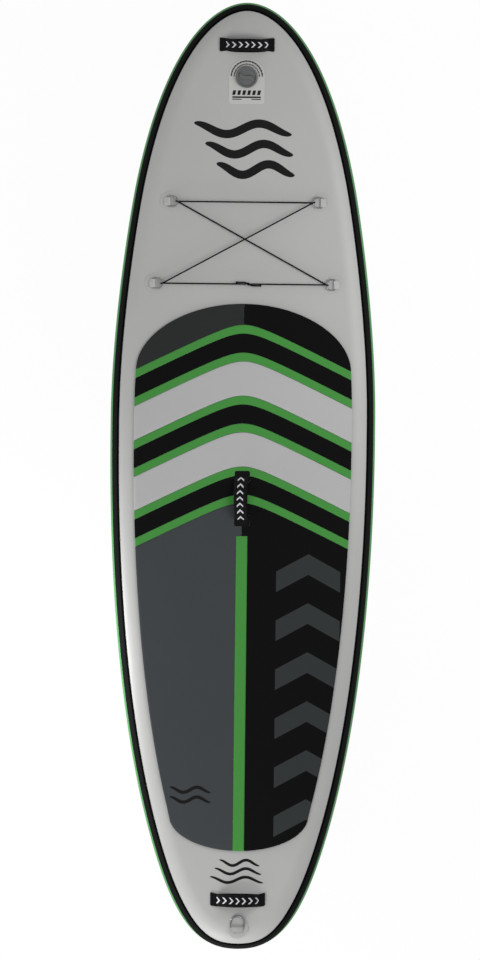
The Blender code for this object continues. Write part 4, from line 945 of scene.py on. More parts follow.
def tape_band(sign, start, end, thickness, low_drop):
    """A tape round the board: an arc of the rail, a hair proud, whose edges round down to it.

    Round the tail it lies lower on the rail, by a smooth step of the distance from the middle.
    """
    low = SEAM_ANGLE - TAPE_HALF_ANGLE
    share = packed_steps(6, TAPE_ROUND)[:, None]
    fade = np.clip((TAIL_DROP_END - np.abs(OUTLINE[:, 0])) / TAIL_DROP_FADE, 0, 1)
    near = smooth_step(fade * (OUTLINE[:, 1] < 0))
    first = low + start - low_drop * near
    last = low + end - TAIL_DROP * near
    angles = first + (last - first) * share
    inside = np.minimum(np.minimum(share, 1 - share) / TAPE_ROUND, 1.0)
    rise = thickness * np.sqrt(1 - (1 - inside) ** 2)
    outer = rail_points(sign * angles, RIM + TAPE_LIFT + rise)
    inner = rail_points(sign * angles[::-1], RIM + TAPE_LIFT / 2)
    return sheet(np.concatenate([outer, inner]), True, True)


# Deck pad

def pad_edge(y):
    """Half width of the pad: a line inside the rail, closed by an elliptic arch at each end."""
    front = np.clip((y - PAD_TOP_Y + PAD_FRONT_ARCH) / PAD_FRONT_ARCH, 0, 1)
    back = np.clip((PAD_END_Y + PAD_BACK_ARCH - y) / PAD_BACK_ARCH, 0, 1)
    return half_width(y, PAD_MARGIN) * np.sqrt(1 - front ** 2) * np.sqrt(1 - back ** 2)


def chevron(tip, x):
    """A chevron line: a hyperbola whose arms fall at a constant slope."""
    return tip - CHEVRON_DROP * (np.hypot(x, CHEVRON_TIP_RADIUS) - CHEVRON_TIP_RADIUS)


def chevron_end(tip):
    """y where a chevron line meets the pad's edge, by halving steps."""
    y = tip
    for _ in range(60):
        y = 0.5 * y + 0.5 * float(chevron(tip, pad_edge(y)))
    return y


def chevron_line(tip, x0, x1, count=60):
    """Points of a chevron line between two distances from the middle."""
    x = np.linspace(x0, x1, count)
    return np.stack([x, chevron(tip, x)], axis=1)


def edge_line(y0, y1, count=80):
    """Points down the pad's edge, closer together towards both ends of the run."""
    y = y0 + (y1 - y0) * (1 - np.cos(np.linspace(0, math.pi, count))) / 2
    return np.stack([pad_edge(y), y], axis=1)


def foam_piece(node, part, lines, finish, steps, cuts=()):
    """A foam slab filled in between four edge lines, with its edges rounded."""
    edge = bpy.context.scene.board_pad.round_edge
    top, bottom, left, right = lines
    wide, tall = run_along(top)[-1], max(run_along(side)[-1] for side in (left, right))
    u, v = (packed_steps(count, min(ROUND_SHARE, edge / size))
            for count, size in zip(steps, (wide, tall)))
    plan = coons(top, bottom, left, right, u, v)
    obj = new_piece(node + "_" + part, [slab(plan, GAP, PAD_THICKNESS, edge)], finish, "board", node,
                    50)
    for cut in cuts:
        cut_out(obj, cut)


def handle_cutter(y):
    """An upright block round a handle's patch, to cut the pad with."""
    length, width = (size + 2 * CUT_MARGIN for size in HANDLE_PATCH)
    return upright_block(rounded_section(width, length, CUT_CORNER, 6) + (0.0, y), *CUT_LEVELS)


def bar_cutter(half, start):
    """A long block down the middle of the pad, to cut the rear panels with."""
    corners = np.array(((half, start), (-half, start), (-half, TAIL_Y), (half, TAIL_Y)))
    return upright_block(corners, *BAR_CUT_LEVELS)


def upright_block(loop, low, high):
    """A block with a given plan, between two heights over the deck's level, closed by poles."""
    rings = [np.column_stack([loop, np.full(len(loop), DECK_Z + z)]) for z in (low, high)]
    return sheet(capped(np.stack(rings)), False, True)


def cut_out(obj, part):
    """Take a shape out of a piece with an exact Boolean, and apply it."""
    mesh = bpy.data.meshes.new("cutter")
    mesh.from_pydata(part[0].tolist(), [], part[1].tolist())
    clean(mesh)
    tool = linked("cutter", mesh)
    step = obj.modifiers.new("cut", "BOOLEAN")
    step.operation = "DIFFERENCE"
    step.solver = "EXACT"
    step.object = tool
    graph = bpy.context.evaluated_depsgraph_get()
    cut = bpy.data.meshes.new_from_object(obj.evaluated_get(graph))
    obj.modifiers.clear()
    obj.data = cut
    bpy.data.objects.remove(tool, do_unlink=True)


def bent_bars(tree, place, look):
    """The right panel's colour: black with a column of bent bars in dark grey.

    The bars are stripes of y plus a share of the distance from the column's middle.
    """
    split = add(tree, "ShaderNodeSeparateXYZ", {0: place})
    off = math_node(tree, "ABSOLUTE", math_node(tree, "SUBTRACT", split.outputs["X"], BAR_X))
    lean = math_node(tree, "ADD", split.outputs["Y"], math_node(tree, "MULTIPLY", off, BAR_SLOPE))
    turns = math_node(tree, "DIVIDE", math_node(tree, "ADD", lean, 20 * BAR_PITCH), BAR_PITCH)
    mask = math_node(tree, "LESS_THAN", math_node(tree, "FRACT", turns), BAR_WIDTH)
    for value, most in ((off, BAR_HALF), (lean, BAR_TOP)):
        mask = math_node(tree, "MULTIPLY", mask, math_node(tree, "LESS_THAN", value, most))
    mix = add(tree, "ShaderNodeMix", {"Factor": mask, "A": linear(look.black), "B": linear(look.tone)},
              data_type="RGBA")
    return mix.outputs["Result"]


def foam_pair(node, lines, finishes, steps, cuts=()):
    """The same foam piece on the left and on the right, each with its own finish."""
    for side, turn, (finish, slot) in zip(("left", "right"), (MIRROR, (1, 1)), finishes):
        foam_piece(node + side, "foam", [line * turn for line in lines], finish, steps, cuts)


class BOARD_OT_pad(BoardOperator, bpy.types.Operator):
    """Make the foam pad: front pieces, coloured chevrons, light bands, rear panels and centre line"""
    bl_idname = "board.make_pad"
    bl_label = "Deck pad"

    def execute(self, context):
        look = context.scene.board_pad
        black, dark = foam("pad_black", look.black), foam("pad_dark_grey", look.dark)
        light, green = foam("pad_light_grey", look.light, 0.03), foam("pad_green", look.green)
        front = foam("pad_front_grey", look.front)
        barred = foam("pad_black_barred", look.black, 0.05,
                      lambda tree, place: bent_bars(tree, place, look))
        half = look.groove / 2
        front_cut, rear_cut = (handle_cutter(y) for y in CUT_Y)

        first = CHEVRON_TIP_Y + half
        arch = edge_line(PAD_TOP_Y, chevron_end(first))
        arch[0] = (0, PAD_TOP_Y)
        inner = np.array(((half, PAD_TOP_Y), (half, first)))
        lines = (arch + (half, 0), chevron_line(first, half, arch[-1, 0]), inner,
                 arch[-1:].repeat(2, axis=0))
        foam_pair("pad_front_", lines, ((front, "pad_dark_grey"), (black, "pad_black")), (40, 14))

        tip = CHEVRON_TIP_Y
        stripes = (("green_fore", GREEN_STRIPE, green, "pad_green"),
                   ("black", BLACK_STRIPE, black, "pad_black"),
                   ("green_aft", GREEN_STRIPE, green, "pad_green"))
        band = (("light", GREY_BAND, light, "pad_light_grey"),)
        for node, pieces in (("pad_chevron_front", stripes), ("pad_grey_front", band),
                             ("pad_chevron_middle", stripes), ("pad_grey_rear", band),
                             ("pad_chevron_rear", stripes)):
            for part, width, finish, slot in pieces:
                high, low = tip - half, tip - width + half
                right = edge_line(chevron_end(high), chevron_end(low))
                lines = (chevron_line(high, -right[0, 0], right[0, 0]),
                         chevron_line(low, -right[-1, 0], right[-1, 0]), right * MIRROR, right)
                cuts = (front_cut,) if node == "pad_chevron_rear" and part != "green_aft" else ()
                foam_piece(node, part, lines, finish, (56, 10), cuts)
                tip -= width

        top = tip - half
        start = CUT_Y[1] - HANDLE_PATCH[0] / 2 - CUT_MARGIN - CENTRE_LINE_START
        arch_y = PAD_END_Y + PAD_BACK_ARCH
        edge = edge_line(chevron_end(top), arch_y)
        x = np.linspace(half, float(pad_edge(arch_y)), 60)
        arch = arch_y - PAD_BACK_ARCH * np.sqrt(np.maximum(1 - (x / x[-1]) ** 2, 0))
        back = np.stack([x, arch], axis=1)
        inner = np.array(((half, top), (half, arch[0])))
        lines = (chevron_line(top, half, edge[0, 0]), back, inner, edge)
        strip = bar_cutter(CENTRE_LINE / 2 + look.groove, start + look.groove)
        foam_pair("pad_panel_", lines, ((dark, "pad_dark_grey"), (barred, "pad_black")), (40, 60),
                  (rear_cut, strip))
        x = np.linspace(-0.5, 0.5, 9) * CENTRE_LINE
        wide = float(half_width(PAD_END_Y, PAD_MARGIN))
        head = np.stack([x, np.full(9, start)], axis=1)
        foot = np.stack([x, arch_y - PAD_BACK_ARCH * np.sqrt(1 - (x / wide) ** 2)], axis=1)
        lines = (head, foot, np.array((head[0], foot[0])), np.array((head[-1], foot[-1])))
        foam_piece("pad_centre_line", "foam", lines, green, (8, 60))
        return {"FINISHED"}


# Printed marks

def wave(centre, width, rise, stroke):
    """One brush-like wave in plan: a sine line whose stroke swells in the middle and ends in a point."""
    u = np.linspace(-1, 1, 90)[None, :, None]
    v = np.linspace(-0.5, 0.5, 5)[:, None, None]
    reach = WAVE_TURNS * math.pi
    along = np.concatenate([np.full_like(u, width / 2), rise * reach * np.cos(reach * u)], axis=-1)
    normal = np.concatenate([-along[..., 1:], along[..., :1]], axis=-1)
    normal /= np.linalg.norm(normal, axis=-1, keepdims=True)
    line = np.concatenate([u * width / 2, rise * np.sin(reach * u)], axis=-1)
    swell = stroke * (WAVE_TIP + (1 - WAVE_TIP) * np.sqrt(np.maximum(1 - u ** 4, 0)))
    return line + v * swell * normal + np.asarray(centre, float)


def wave_set(count, width, first, step, share, growth, rise, stroke):
    """Waves one below the other, each moved and widened from the one before it."""
    return [wave((first[0] + step[0] * k, first[1] + step[1] * k), width * (share + growth * k), rise,
                 stroke) for k in range(count)]


class BOARD_OT_marks(BoardOperator, bpy.types.Operator):
    """Print plain waves on the deck near the nose and the tail, and small ones on the pad"""
    bl_idname = "board.make_marks"
    bl_label = "Printed waves"

    def execute(self, context):
        look = context.scene.board_marks
        ink = moulded("ink_black", look.ink, 0.55, 0.12, 0.00002)
        nose = wave_set(3, look.nose_width, *NOSE_WAVES)
        tail = wave_set(3, look.tail_width, *TAIL_WAVES)
        pad = wave_set(2, PAD_WAVE_WIDTH, *PAD_WAVES)
        for name, plans, low in (("deck_waves", nose + tail, FILM_LIFT),
                                 ("pad_waves", pad, GAP + PAD_THICKNESS + FILM_LIFT / 2)):
            films = [slab(plan, low, look.film, look.film / 3) for plan in plans]
            new_piece(name, films, ink, "board", None, 60)
        return {"FINISHED"}


# Handles

def strap_z(x):
    """Height of a handle's strap over the deck: flat feet with a round arch between them."""
    foot = GAP + PATCH + GAP + STRAP / 2
    reach = HANDLE_LENGTH / 2 - STRAP_FOOT
    return foot + HANDLE_RISE * np.maximum(1 - (x / reach) ** 4, 0) ** STRAP_ARCH


def strap_line(x, place):
    """Middle line of a handle's strap at x, in the frame."""
    return placed(np.stack([x, 0 * x, strap_z(x)], axis=1), place)


class Sleeve:
    """A handle's padded sleeve: a soft flat oval along the strap, flared at both ends."""

    def __init__(self, look, place, sway, width, flare):
        self.place = place
        self.sway = look.sway * sway
        self.width = look.width * width
        self.flare = look.flare * flare

    def size(self, x):
        """Near and far edge across, bottom and top over the strap's middle, at x."""
        s = np.abs(x) / SLEEVE_HALF
        flare = self.flare * np.clip((s - FLARE_START) / FLARE_RUN, 0, 1) ** FLARE_CURVE
        middle = self.sway * (1 - s ** 2)
        t = np.clip((SLEEVE_HALF - np.abs(x)) / SLEEVE_RAMP, 0, 1)
        thick = SLEEVE_END + SLEEVE_SWELL * smooth_step(t)
        ripple = SLEEVE_RIPPLE * np.cos(x / SLEEVE_HALF * 9 * math.pi) * t
        low = -np.minimum(thick / 2, SLEEVE_UNDER + SLEEVE_UNDER_SWELL * t)
        past = np.clip(np.abs(x) - SLEEVE_HALF + SLEEVE_CORNER, 0, SLEEVE_CORNER)
        round_off = SLEEVE_CORNER - np.sqrt(SLEEVE_CORNER ** 2 - past ** 2)
        return (middle - self.width / 2 + round_off, middle + self.width / 2 + flare - round_off,
                low, low + thick + ripple)

    def surface(self, x, px, lift=SEAM_LIFT):
        """Points of the top at x, with px from -1 to 1 across: a superellipse, plus a lift."""
        near, far, low, high = self.size(x)
        py = np.maximum(1 - np.abs(px) ** 5, 0) ** SLEEVE_TOP
        across = (near + far) / 2 + (far - near) / 2 * px
        up = (low + high) / 2 + (high - low) / 2 * py + lift
        slope = np.arctan((strap_z(x + STRAP_STEP) - strap_z(x - STRAP_STEP)) / (2 * STRAP_STEP))
        points = np.stack([x - up * np.sin(slope), across, strap_z(x) + up * np.cos(slope)], axis=-1)
        return placed(points, self.place)

    def body(self):
        """The whole sleeve as a closed bar along the strap."""
        x = SLEEVE_HALF * np.cos(np.linspace(0, math.pi, 90))
        near, far, low, high = (v[:, None] for v in self.size(x))
        a = np.linspace(0, 2 * math.pi, 48, endpoint=False)[None]
        px = np.sign(np.cos(a)) * np.abs(np.cos(a)) ** SLEEVE_SQUARE[0]
        py = np.sign(np.sin(a)) * np.abs(np.sin(a)) ** SLEEVE_SQUARE[1]
        sections = np.stack([(near + far) / 2 + (far - near) / 2 * px,
                             (low + high) / 2 + (high - low) / 2 * py], axis=-1)
        return bar_along(strap_line(x, self.place), sections, self.place[0][:, 1])

    def seams(self):
        """Lines of its stitching: one along each side and two across each end."""
        x = np.linspace(-1, 1, 60) * (SLEEVE_HALF - SIDE_SEAM_END)
        px = np.linspace(-1, 1, 12) * END_SEAM
        sides = [self.surface(x, np.full(60, side)) for side in (-SIDE_SEAM, SIDE_SEAM)]
        ends = [[self.surface(np.full(12, end * (SLEEVE_HALF - back)), px) for back in END_SEAMS_BACK]
                for end in (-1, 1)]
        return sides, ends


def printed_chevrons(sleeve, count):
    """Small arrowheads in a row along a sleeve, each a folded band a little above it."""
    t = np.linspace(-1, 1, 21)
    s = np.linspace(0, 1, 5)[:, None]
    parts = []
    for k in range(count):
        start = PRINT_PITCH * (k - (count - 1) / 2) - PRINT_BACK
        x = start + PRINT_POINT * (1 - np.abs(t)) + PRINT_BAND * s
        px = np.broadcast_to(PRINT_REACH * t, x.shape)
        parts.append(shell(*(sleeve.surface(x, px, lift) for lift in PRINT_LIFTS)))
    return parts


class BOARD_OT_handles(BoardOperator, bpy.types.Operator):
    """Make the three carrying handles: webbing, padded sleeve, print and stitching"""
    bl_idname = "board.make_handles"
    bl_label = "Handles"

    def execute(self, context):
        look = context.scene.board_handles
        webbing = woven("handle_webbing", look.sleeve, 0.0020, 1.0, 0.8, 0.03)
        neoprene = woven("handle_sleeve", look.sleeve, 0.0009, 0.0, 0.75, 0.04)
        white = moulded("print_pale", look.print_colour, 0.6, 0.2, 0.00002)
        thread = woven("thread_dark", look.thread, 0.0006)
        patch = coated_fabric("handle_patch_grey", context.scene.board_hull.deck, 0.5, 0.25)
        black = coated_fabric("handle_patch_black", look.sleeve, 0.6, 0.1)
        x = np.linspace(1, -1, 61) * (HANDLE_LENGTH / 2 - STRAP_SHORT)
        foot = np.clip((np.abs(x) - HANDLE_LENGTH / 2 + STRAP_FOOT) / STRAP_FOOT, 0, 1)
        sections = np.stack([rounded_section(wide, STRAP, WEB_EDGE)
                             for wide in STRAP_WIDTH + STRAP_SPREAD * foot])
        y_foot = np.linspace(-1, 1, 12) * FOOT_SEAM
        z_foot = GAP + PATCH + GAP + STRAP + SEAM_LIFT
        for name, y, turn, sway, width, flare in HANDLES:
            prefix = name + "_handle_"
            place = deck_frame(0.0, y, turn)
            across, up = place[0][:, 1], place[0][:, 2]
            sleeve = Sleeve(look, place, sway, width, flare)
            new_piece(prefix + "webbing", [bar_along(strap_line(x, place), sections, across)], webbing,
                      "board", prefix + "strap")
            soft = new_piece(prefix + "sleeve", [sleeve.body()], neoprene, "board", prefix + "grip",
                             60)
            new_piece(prefix + "chevrons", printed_chevrons(sleeve, look.chevrons), white, "board", None)
            seams, ends = sleeve.seams()
            for end, lines in zip((-1, 1), ends):
                x_foot = end * (HANDLE_LENGTH / 2 - FOOT_SEAM_BACK)
                seams += lines
                seams.append(placed(np.array([(x_foot, side, z_foot) for side in y_foot]), place))
            new_piece(prefix + "stitching", [stitches(seam, up, *STITCH) for seam in seams], thread,
                      "board", None)
            dress(black if name == "middle" else patch, prefix + "patch_a", prefix + "patch_b")
        return {"FINISHED"}


# Valve

def label_outline(angles):
    """Distance from the valve's middle to the label's edge: a half circle over a rounded oblong."""
    radius, below, corner = LABEL_RADIUS, LABEL_BELOW, LABEL_CORNER
    low = np.stack([np.linspace(0, radius - corner, 20)[:-1], np.full(19, -below)], axis=1)
    bend = polar(corner, np.radians(np.linspace(-90, 0, 10)), (radius - corner, corner - below))
    side = np.stack([np.full(30, radius), np.linspace(corner - below, 0, 31)[:-1]], axis=1)
    arch = polar(radius, np.radians(np.linspace(0, 90, 60)))
    right = np.vstack([low, bend, side, arch])
    around = np.vstack([right, right[-2:0:-1] * MIRROR])
    turn = np.arctan2(around[:, 1], around[:, 0]) % (2 * math.pi)
    order = np.argsort(turn)
    reach = np.hypot(*around.T)
    return np.interp(angles, turn[order], reach[order], period=2 * math.pi)


def label_film(centre, low, edge, sides=240):
    """The label round the valve's hole: its section is a closed loop with a rounded top edge."""
    a = np.linspace(0, 2 * math.pi, sides, endpoint=False)
    inner, outer = VALVE_HOLE, label_outline(a)
    high = low + LABEL
    q = np.radians(np.linspace(90, 0, 5))[:, None]
    share = np.linspace(0, 1, 24)[:, None]
    radius = np.vstack([inner + (outer - edge - inner) * share, outer - edge + edge * np.cos(q),
                        outer + (inner - outer) * share])
    height = np.vstack([np.full_like(share, high), high - edge + edge * np.sin(q),
                        np.full_like(share, low)])
    plan = polar(radius, a, centre)
    return sheet(on_deck(plan, np.broadcast_to(height, radius.shape)), True, True,
                 (np.linspace(0, 1, sides + 1), np.linspace(0, 1, len(radius) + 1)))


def tiles(plan, low, thickness):
    """Many thin oblongs on the deck at once: four plan corners each, made into closed boxes."""
    points = [on_deck(plan, np.full(plan.shape[:2], height)) for height in (low, low + thickness)]
    points = np.concatenate(points, axis=1).reshape(-1, 3)
    box = np.array(((4, 5, 6, 7), (3, 2, 1, 0), (0, 1, 5, 4), (1, 2, 6, 5), (2, 3, 7, 6), (3, 0, 4, 7)))
    faces = (box[None] + 8 * np.arange(len(plan))[:, None, None]).reshape(-1, 4)
    return points, faces, points[faces][..., :2]


def label_print(y):
    """The label's print: two rows of ticks over the valve, a row of slanted bars and three lines."""
    a = np.radians(np.concatenate([np.linspace(*TICK_ENDS, count) for count in TICK_COUNTS]))
    turn = np.arange(len(a))
    half = np.radians(np.where(turn % 4 == 1, *TICK_HALVES))
    low = np.repeat(TICK_LOW, TICK_COUNTS) + TICK_SHORTER[0] * (turn % 3 == 0)
    high = np.repeat(TICK_HIGH, TICK_COUNTS) - TICK_SHORTER[1] * (turn % 5 == 0)
    ticks = np.stack([polar(r, a + da, (0.0, y)) for r, da in
                      ((low, -half), (high, -half), (high, half), (low, half))], axis=1)
    steps = (np.arange(SLANTED_COUNT) - (SLANTED_COUNT - 1) / 2) * SLANTED_PITCH
    bars = np.array(SLANTED_BAR) + np.stack([steps, np.full(SLANTED_COUNT, y)], axis=1)[:, None]
    x0, x1, top, tall = np.transpose(LABEL_LINES)
    low, high = y + top - tall, y + top
    lines = np.stack([np.stack(corner, axis=1) for corner in
                      ((x0, low), (x1, low), (x1, high), (x0, high))], axis=1)
    return np.concatenate([ticks, bars, lines])


def valve_cap_surface(place, ribs):
    """The cap as one closed polar surface.

    Its height over a circle is a hollow inside a raised rim, with a grip bar that bends like an S
    across it and a dome on either side. Its wall bulges in a row of ribs and its edge rounds over.
    """
    top, flat = CAP_LOW + CAP_HEIGHT, CAP_RADIUS - CAP_BEVEL
    a = np.linspace(0, 2 * math.pi, 8 * ribs, endpoint=False)[None]
    r = flat * np.linspace(0, 1, 90)[:, None]
    x, y = r * np.cos(a), r * np.sin(a)
    c, s = CAP_FACE_TURN
    x, y = c * x - s * y, s * x + c * y
    hollow = np.clip((CAP_HOLLOW_RADIUS - r) / CAP_HOLLOW_SLOPE, 0, 1)
    across = y - GRIP_SWAY * np.sin(x / GRIP_WAVE * math.pi)
    reach = (np.abs(x) / GRIP_HALF[0]) ** 4 + (np.abs(across) / GRIP_HALF[1]) ** GRIP_POWER
    bar = np.clip((GRIP_EDGE - reach) / GRIP_FADE, 0, 1)
    dome = np.clip(1 - ((np.abs(y) - DOME_OUT) / DOME_HALF[1]) ** 2 - (x / DOME_HALF[0]) ** 2, 0, 1)
    face = top - CAP_HOLLOW * smooth_step(hollow) + CAP_GRIP * smooth_step(bar) + CAP_DOME * dome
    q = np.radians(np.linspace(90, 0, 6))[1:, None]
    rib = CAP_RIB * np.cos(ribs * a)
    level = np.ones_like(a)
    radius = np.concatenate([r * level, flat + (CAP_BEVEL + rib) * np.cos(q), CAP_RADIUS + rib,
                             (CAP_RADIUS - CAP_RIB) * level, 0 * level])
    height = np.concatenate([face, (top - CAP_BEVEL + CAP_BEVEL * np.sin(q)) * level,
                             (CAP_LOW + CAP_RIB) * level, CAP_LOW * level, CAP_LOW * level])
    points = np.stack([radius * np.cos(a), radius * np.sin(a), height], axis=-1)
    return sheet(placed(points, place), False, True)


class BOARD_OT_valve(BoardOperator, bpy.types.Operator):
    """Make the valve's label with its print and its ribbed cap, and dress the parts below"""
    bl_idname = "board.make_valve"
    bl_label = "Valve"

    def execute(self, context):
        look = context.scene.board_fittings
        place = deck_frame(0.0, VALVE_Y, 0.0)
        axis = place[0][:, 2]
        pale = moulded("label_pale", look.label, 0.4, 0.3, 0.00001)
        ink = moulded("label_ink", context.scene.board_marks.ink, 0.5, 0.15, 0.00001)
        plastic = moulded("valve_plastic", look.valve, 0.30, 0.5)
        rubber = moulded("valve_rubber", RUBBER, 0.7, 0.2)
        steel = bare_steel("spring_steel", look.steel)
        new_piece("valve_label_film", [label_film((0.0, VALVE_Y), GAP, LABEL / 2)], pale, "board",
                  "valve_label", 60)
        print_z = GAP + LABEL + LABEL_INK_LIFT
        new_piece("valve_label_print", [tiles(label_print(VALVE_Y), print_z, LABEL_INK)], ink, "board",
                  None)
        new_piece("valve_cap_ribbed", [valve_cap_surface(place, look.cap_ribs)], plastic, "valve_cap",
                  "valve_cap", 50)
        dress(plastic, "valve_body", "valve_nut")
        dress(rubber, "valve_seal", "valve_stem")
        steps = 24 * SPRING_TURNS + 1
        turns = np.linspace(0, 2 * math.pi * SPRING_TURNS, steps)
        rise = np.linspace(SPRING_LOW + SPRING_WIRE, SPRING_HIGH - SPRING_WIRE, steps)
        line = placed(np.column_stack([polar(SPRING_RADIUS, turns), rise]), place)
        coil = new_piece("valve_spring_coil", [tube(line, SPRING_WIRE, 10, axis)], steel, "board",
                         "valve_spring", 60)
        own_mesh(coil)
        return {"FINISHED"}


# Rings, the loops that hold them, and the cord

def ring_places():
    """Name, sizes, patch radius, bar's place on the deck, turn and tilt of every ring."""
    places = []
    for row, tip_x, back in RING_ROWS:
        for side, sign, turn in (("left", -1, 0.0), ("right", 1, math.pi)):
            x = sign * (tip_x + CARGO_RING[1] * math.cos(CARGO_TILT))
            places.append(("cargo_" + row + "_" + side, CARGO_RING, CARGO_PATCH, x, NOSE_Y - back, turn,
                           CARGO_TILT))
    places.append(("leash", LEASH_RING, LEASH_PATCH, 0.0, LEASH_Y, math.pi / 2, LEASH_TILT))
    return places


def ring_place(x, y, turn, tilt):
    """Axes and origin of a ring's bar, before and after its tilt."""
    axes, origin = deck_frame(x, y, turn)
    origin = origin + axes[:, 2] * BAR_HEIGHT
    c, s = math.cos(tilt), math.sin(tilt)
    return (axes, origin), (axes @ np.array(((c, 0, -s), (0, 1, 0), (s, 0, c))), origin)


def ring_line(half, reach, corner=RING_CORNER):
    """Middle line of a ring's wire: a straight bar, two rounded corners, two sides and a half circle."""
    bar = np.stack([np.zeros(9), np.linspace(-1, 1, 9) * (half - corner)], axis=1)
    bend = polar(corner, np.radians(np.linspace(180, 90, 8)[1:]), (corner, half - corner))
    front = polar(half, np.radians(np.linspace(90, -90, 33)), (reach - half, 0.0))
    return np.vstack([bar, bend, front, (bend * (1, -1))[::-1]])


def loop_web(wide, tail, place):
    """Webbing folded round a bar: flat below it, a half circle in front and a slope back to its tail."""
    r = LOOP_HOLE + LOOP_WEB / 2
    low = np.stack([np.linspace(-tail, 0, 9)[:-1], np.full(8, -r)], axis=1)
    front = polar(r, np.radians(np.linspace(-90, 90, 17)))
    t = np.linspace(0, 1, 14)[1:]
    back = np.stack([-tail * t, r + (LOOP_WEB - 2 * r) * smooth_step(t)], axis=1)
    x, z = np.vstack([low, front, back]).T
    line = placed(np.stack([x, 0 * x, z], axis=1), place)
    section = rounded_section(2 * wide, LOOP_WEB - LOOP_THIN, WEB_EDGE)
    return bar_along(line, np.broadcast_to(section, (len(line), *section.shape)), place[0][:, 1])


def cord_corner(tip, coming, going, over_first):
    """The cord's turn round a ring's wire, between two headings in plan: half a circle upright."""
    t = np.linspace(0, 1, 15)
    a = (0.5 - t if over_first else t - 0.5) * math.pi
    heading = coming + (going - coming) * t
    outward = np.stack([np.cos(heading), np.sin(heading), 0 * t], axis=1)
    return tip + TURN_RADIUS * (np.cos(a)[:, None] * outward + np.sin(a)[:, None] * (0, 0, 1))


def knot_strand(sign, y, z, count=70):
    """One of the two strands that twist once round each other: a smooth step of the turn along x.

    The sign is 1 for the strand that starts on the side of the nose, and -1 for the other.
    """
    apart = CORD_RADIUS + GAP
    x = np.linspace(KNOT_X - KNOT_LENGTH / 2, KNOT_X + KNOT_LENGTH / 2, count)
    t = smooth_step(np.clip((x - KNOT_X) / KNOT_TWIST + 0.5, 0, 1))
    across = y + apart * np.cos(math.pi * t) + sign * apart * np.cos(2 * math.pi * t)
    return np.stack([x, across, z + sign * apart * np.sin(2 * math.pi * t)], axis=1)


def cargo_route(tips):
    """The cord's line as a list: straight or knotted runs and the corners between them, in order."""
    def heading(a, b):
        return math.atan2(tips[b][1] - tips[a][1], tips[b][0] - tips[a][0])

    left, right = tips["lower_left"], tips["lower_right"]
    share = (KNOT_X - left[0]) / (right[0] - left[0])
    z = left[2] + TURN_RADIUS * (2 * share - 1)
    return [knot_strand(1, right[1], z),
            cord_corner(right, 0, heading("upper_left", "lower_right"), True),
            cord_corner(tips["upper_left"], heading("lower_right", "upper_left"), math.pi, False),
            cord_corner(tips["upper_right"], 0, heading("lower_left", "upper_right"), False),
            cord_corner(left, heading("upper_right", "lower_left"), -math.pi, True),
            knot_strand(-1, right[1], z)]


def whipping(line, turns=8):
    """A short wrapping round the cord's end: a tube that ripples once for each turn of thread."""
    t = np.linspace(0, 1, 49)
    run, steps = run_along(line), WHIPPING_AT + WHIPPING * (t - 0.5)
    path = np.stack([np.interp(steps, run, column) for column in line.T], axis=1)
    ends = np.minimum(np.minimum(t, 1 - t) / WHIPPING_END, 1)
    rise = WHIPPING_RISE * np.sqrt(1 - (1 - ends) ** 2)
    ripple = WHIPPING_RIPPLE * np.cos(2 * math.pi * turns * t)
    return tube(path, CORD_RADIUS * WHIPPING_BASE + rise + ripple, 16)


class BOARD_OT_rings(BoardOperator, bpy.types.Operator):
    """Make the five rings, the webbing loops that hold them and the patches below"""
    bl_idname = "board.make_rings"
    bl_label = "Rings"

    def execute(self, context):
        look = context.scene.board_fittings
        steel = bare_steel("ring_steel", look.steel)
        webbing = woven("loop_webbing", look.webbing, 0.0016, 1.0, 0.75, 0.2)
        # The leash loop's webbing is the loop colour darkened as a painted shade, against the tail light
        # on its slope
        plain = woven("leash_webbing", [LEASH_PAINTED_SHADE * c for c in look.webbing], 0.0016, 1.0, 0.8, 0.05)
        thread = woven("thread_grey", [THREAD_SHADE * c for c in look.webbing], 0.0006)
        fabric = coated_fabric("patch_grey", context.scene.board_hull.deck, 0.46, 0.28, 0.03)
        for name, (half, reach), patch, x, y, turn, tilt in ring_places():
            level, tilted = ring_place(x, y, turn, tilt)
            line = ring_line(half, reach)
            line = placed(np.column_stack([line, 0 * line[:, 0]]), tilted)
            body = name.replace("cargo_", "") + "_ring"
            new_piece(name + "_wire", [tube(line, RING_WIRE, 16, tilted[0][:, 2], True)], steel, body,
                      name + "_ring", 60)
            wide = half - RING_CORNER - LOOP_SIDE
            # The leash loop gets the webbing darkened by a painted shade, the cargo loops the bright one
            new_piece(name + "_web", [loop_web(wide, LOOP_TAIL, level)],
                      plain if name == "leash" else webbing, "board", name + "_loop")
            rows = []
            for back, lift in LOOP_SEAMS:
                height = LOOP_WEB - LOOP_HOLE + lift
                ends = [(-back, side * (wide - LOOP_SEAM_SHORT), height) for side in (-1, 1)]
                seam = placed(resampled(ends, np.linspace(0, 1, 9)), level)
                rows.append(stitches(seam, level[0][:, 2], *LOOP_STITCH))
            new_piece(name + "_stitching", rows, thread, "board", None)
            new_piece(name + "_round_patch", [disc((x, y), patch)], fabric, "board", name + "_patch",
                      60)
        return {"FINISHED"}


def disc(centre, radius, edge=0.0005, sides=96):
    """A closed round patch on the deck: a polar grid whose top edge rounds over."""
    a = np.linspace(0, 2 * math.pi, sides, endpoint=False)
    q = np.radians(np.linspace(90, 0, 6))
    r = np.concatenate([np.linspace(0, radius - edge, 14)[:-1], radius - edge + edge * np.cos(q),
                        np.linspace(radius, 0, 14)])[:, None]
    rise = np.concatenate([np.full(13, PATCH), PATCH - edge + edge * np.sin(q), np.zeros(14)])[:, None]
    points = on_deck(polar(r, a, centre), GAP + np.broadcast_to(rise, (len(r), sides)))
    return sheet(points, False, True, (np.linspace(0, 2 * math.pi * radius, sides + 1), r[:, 0]))


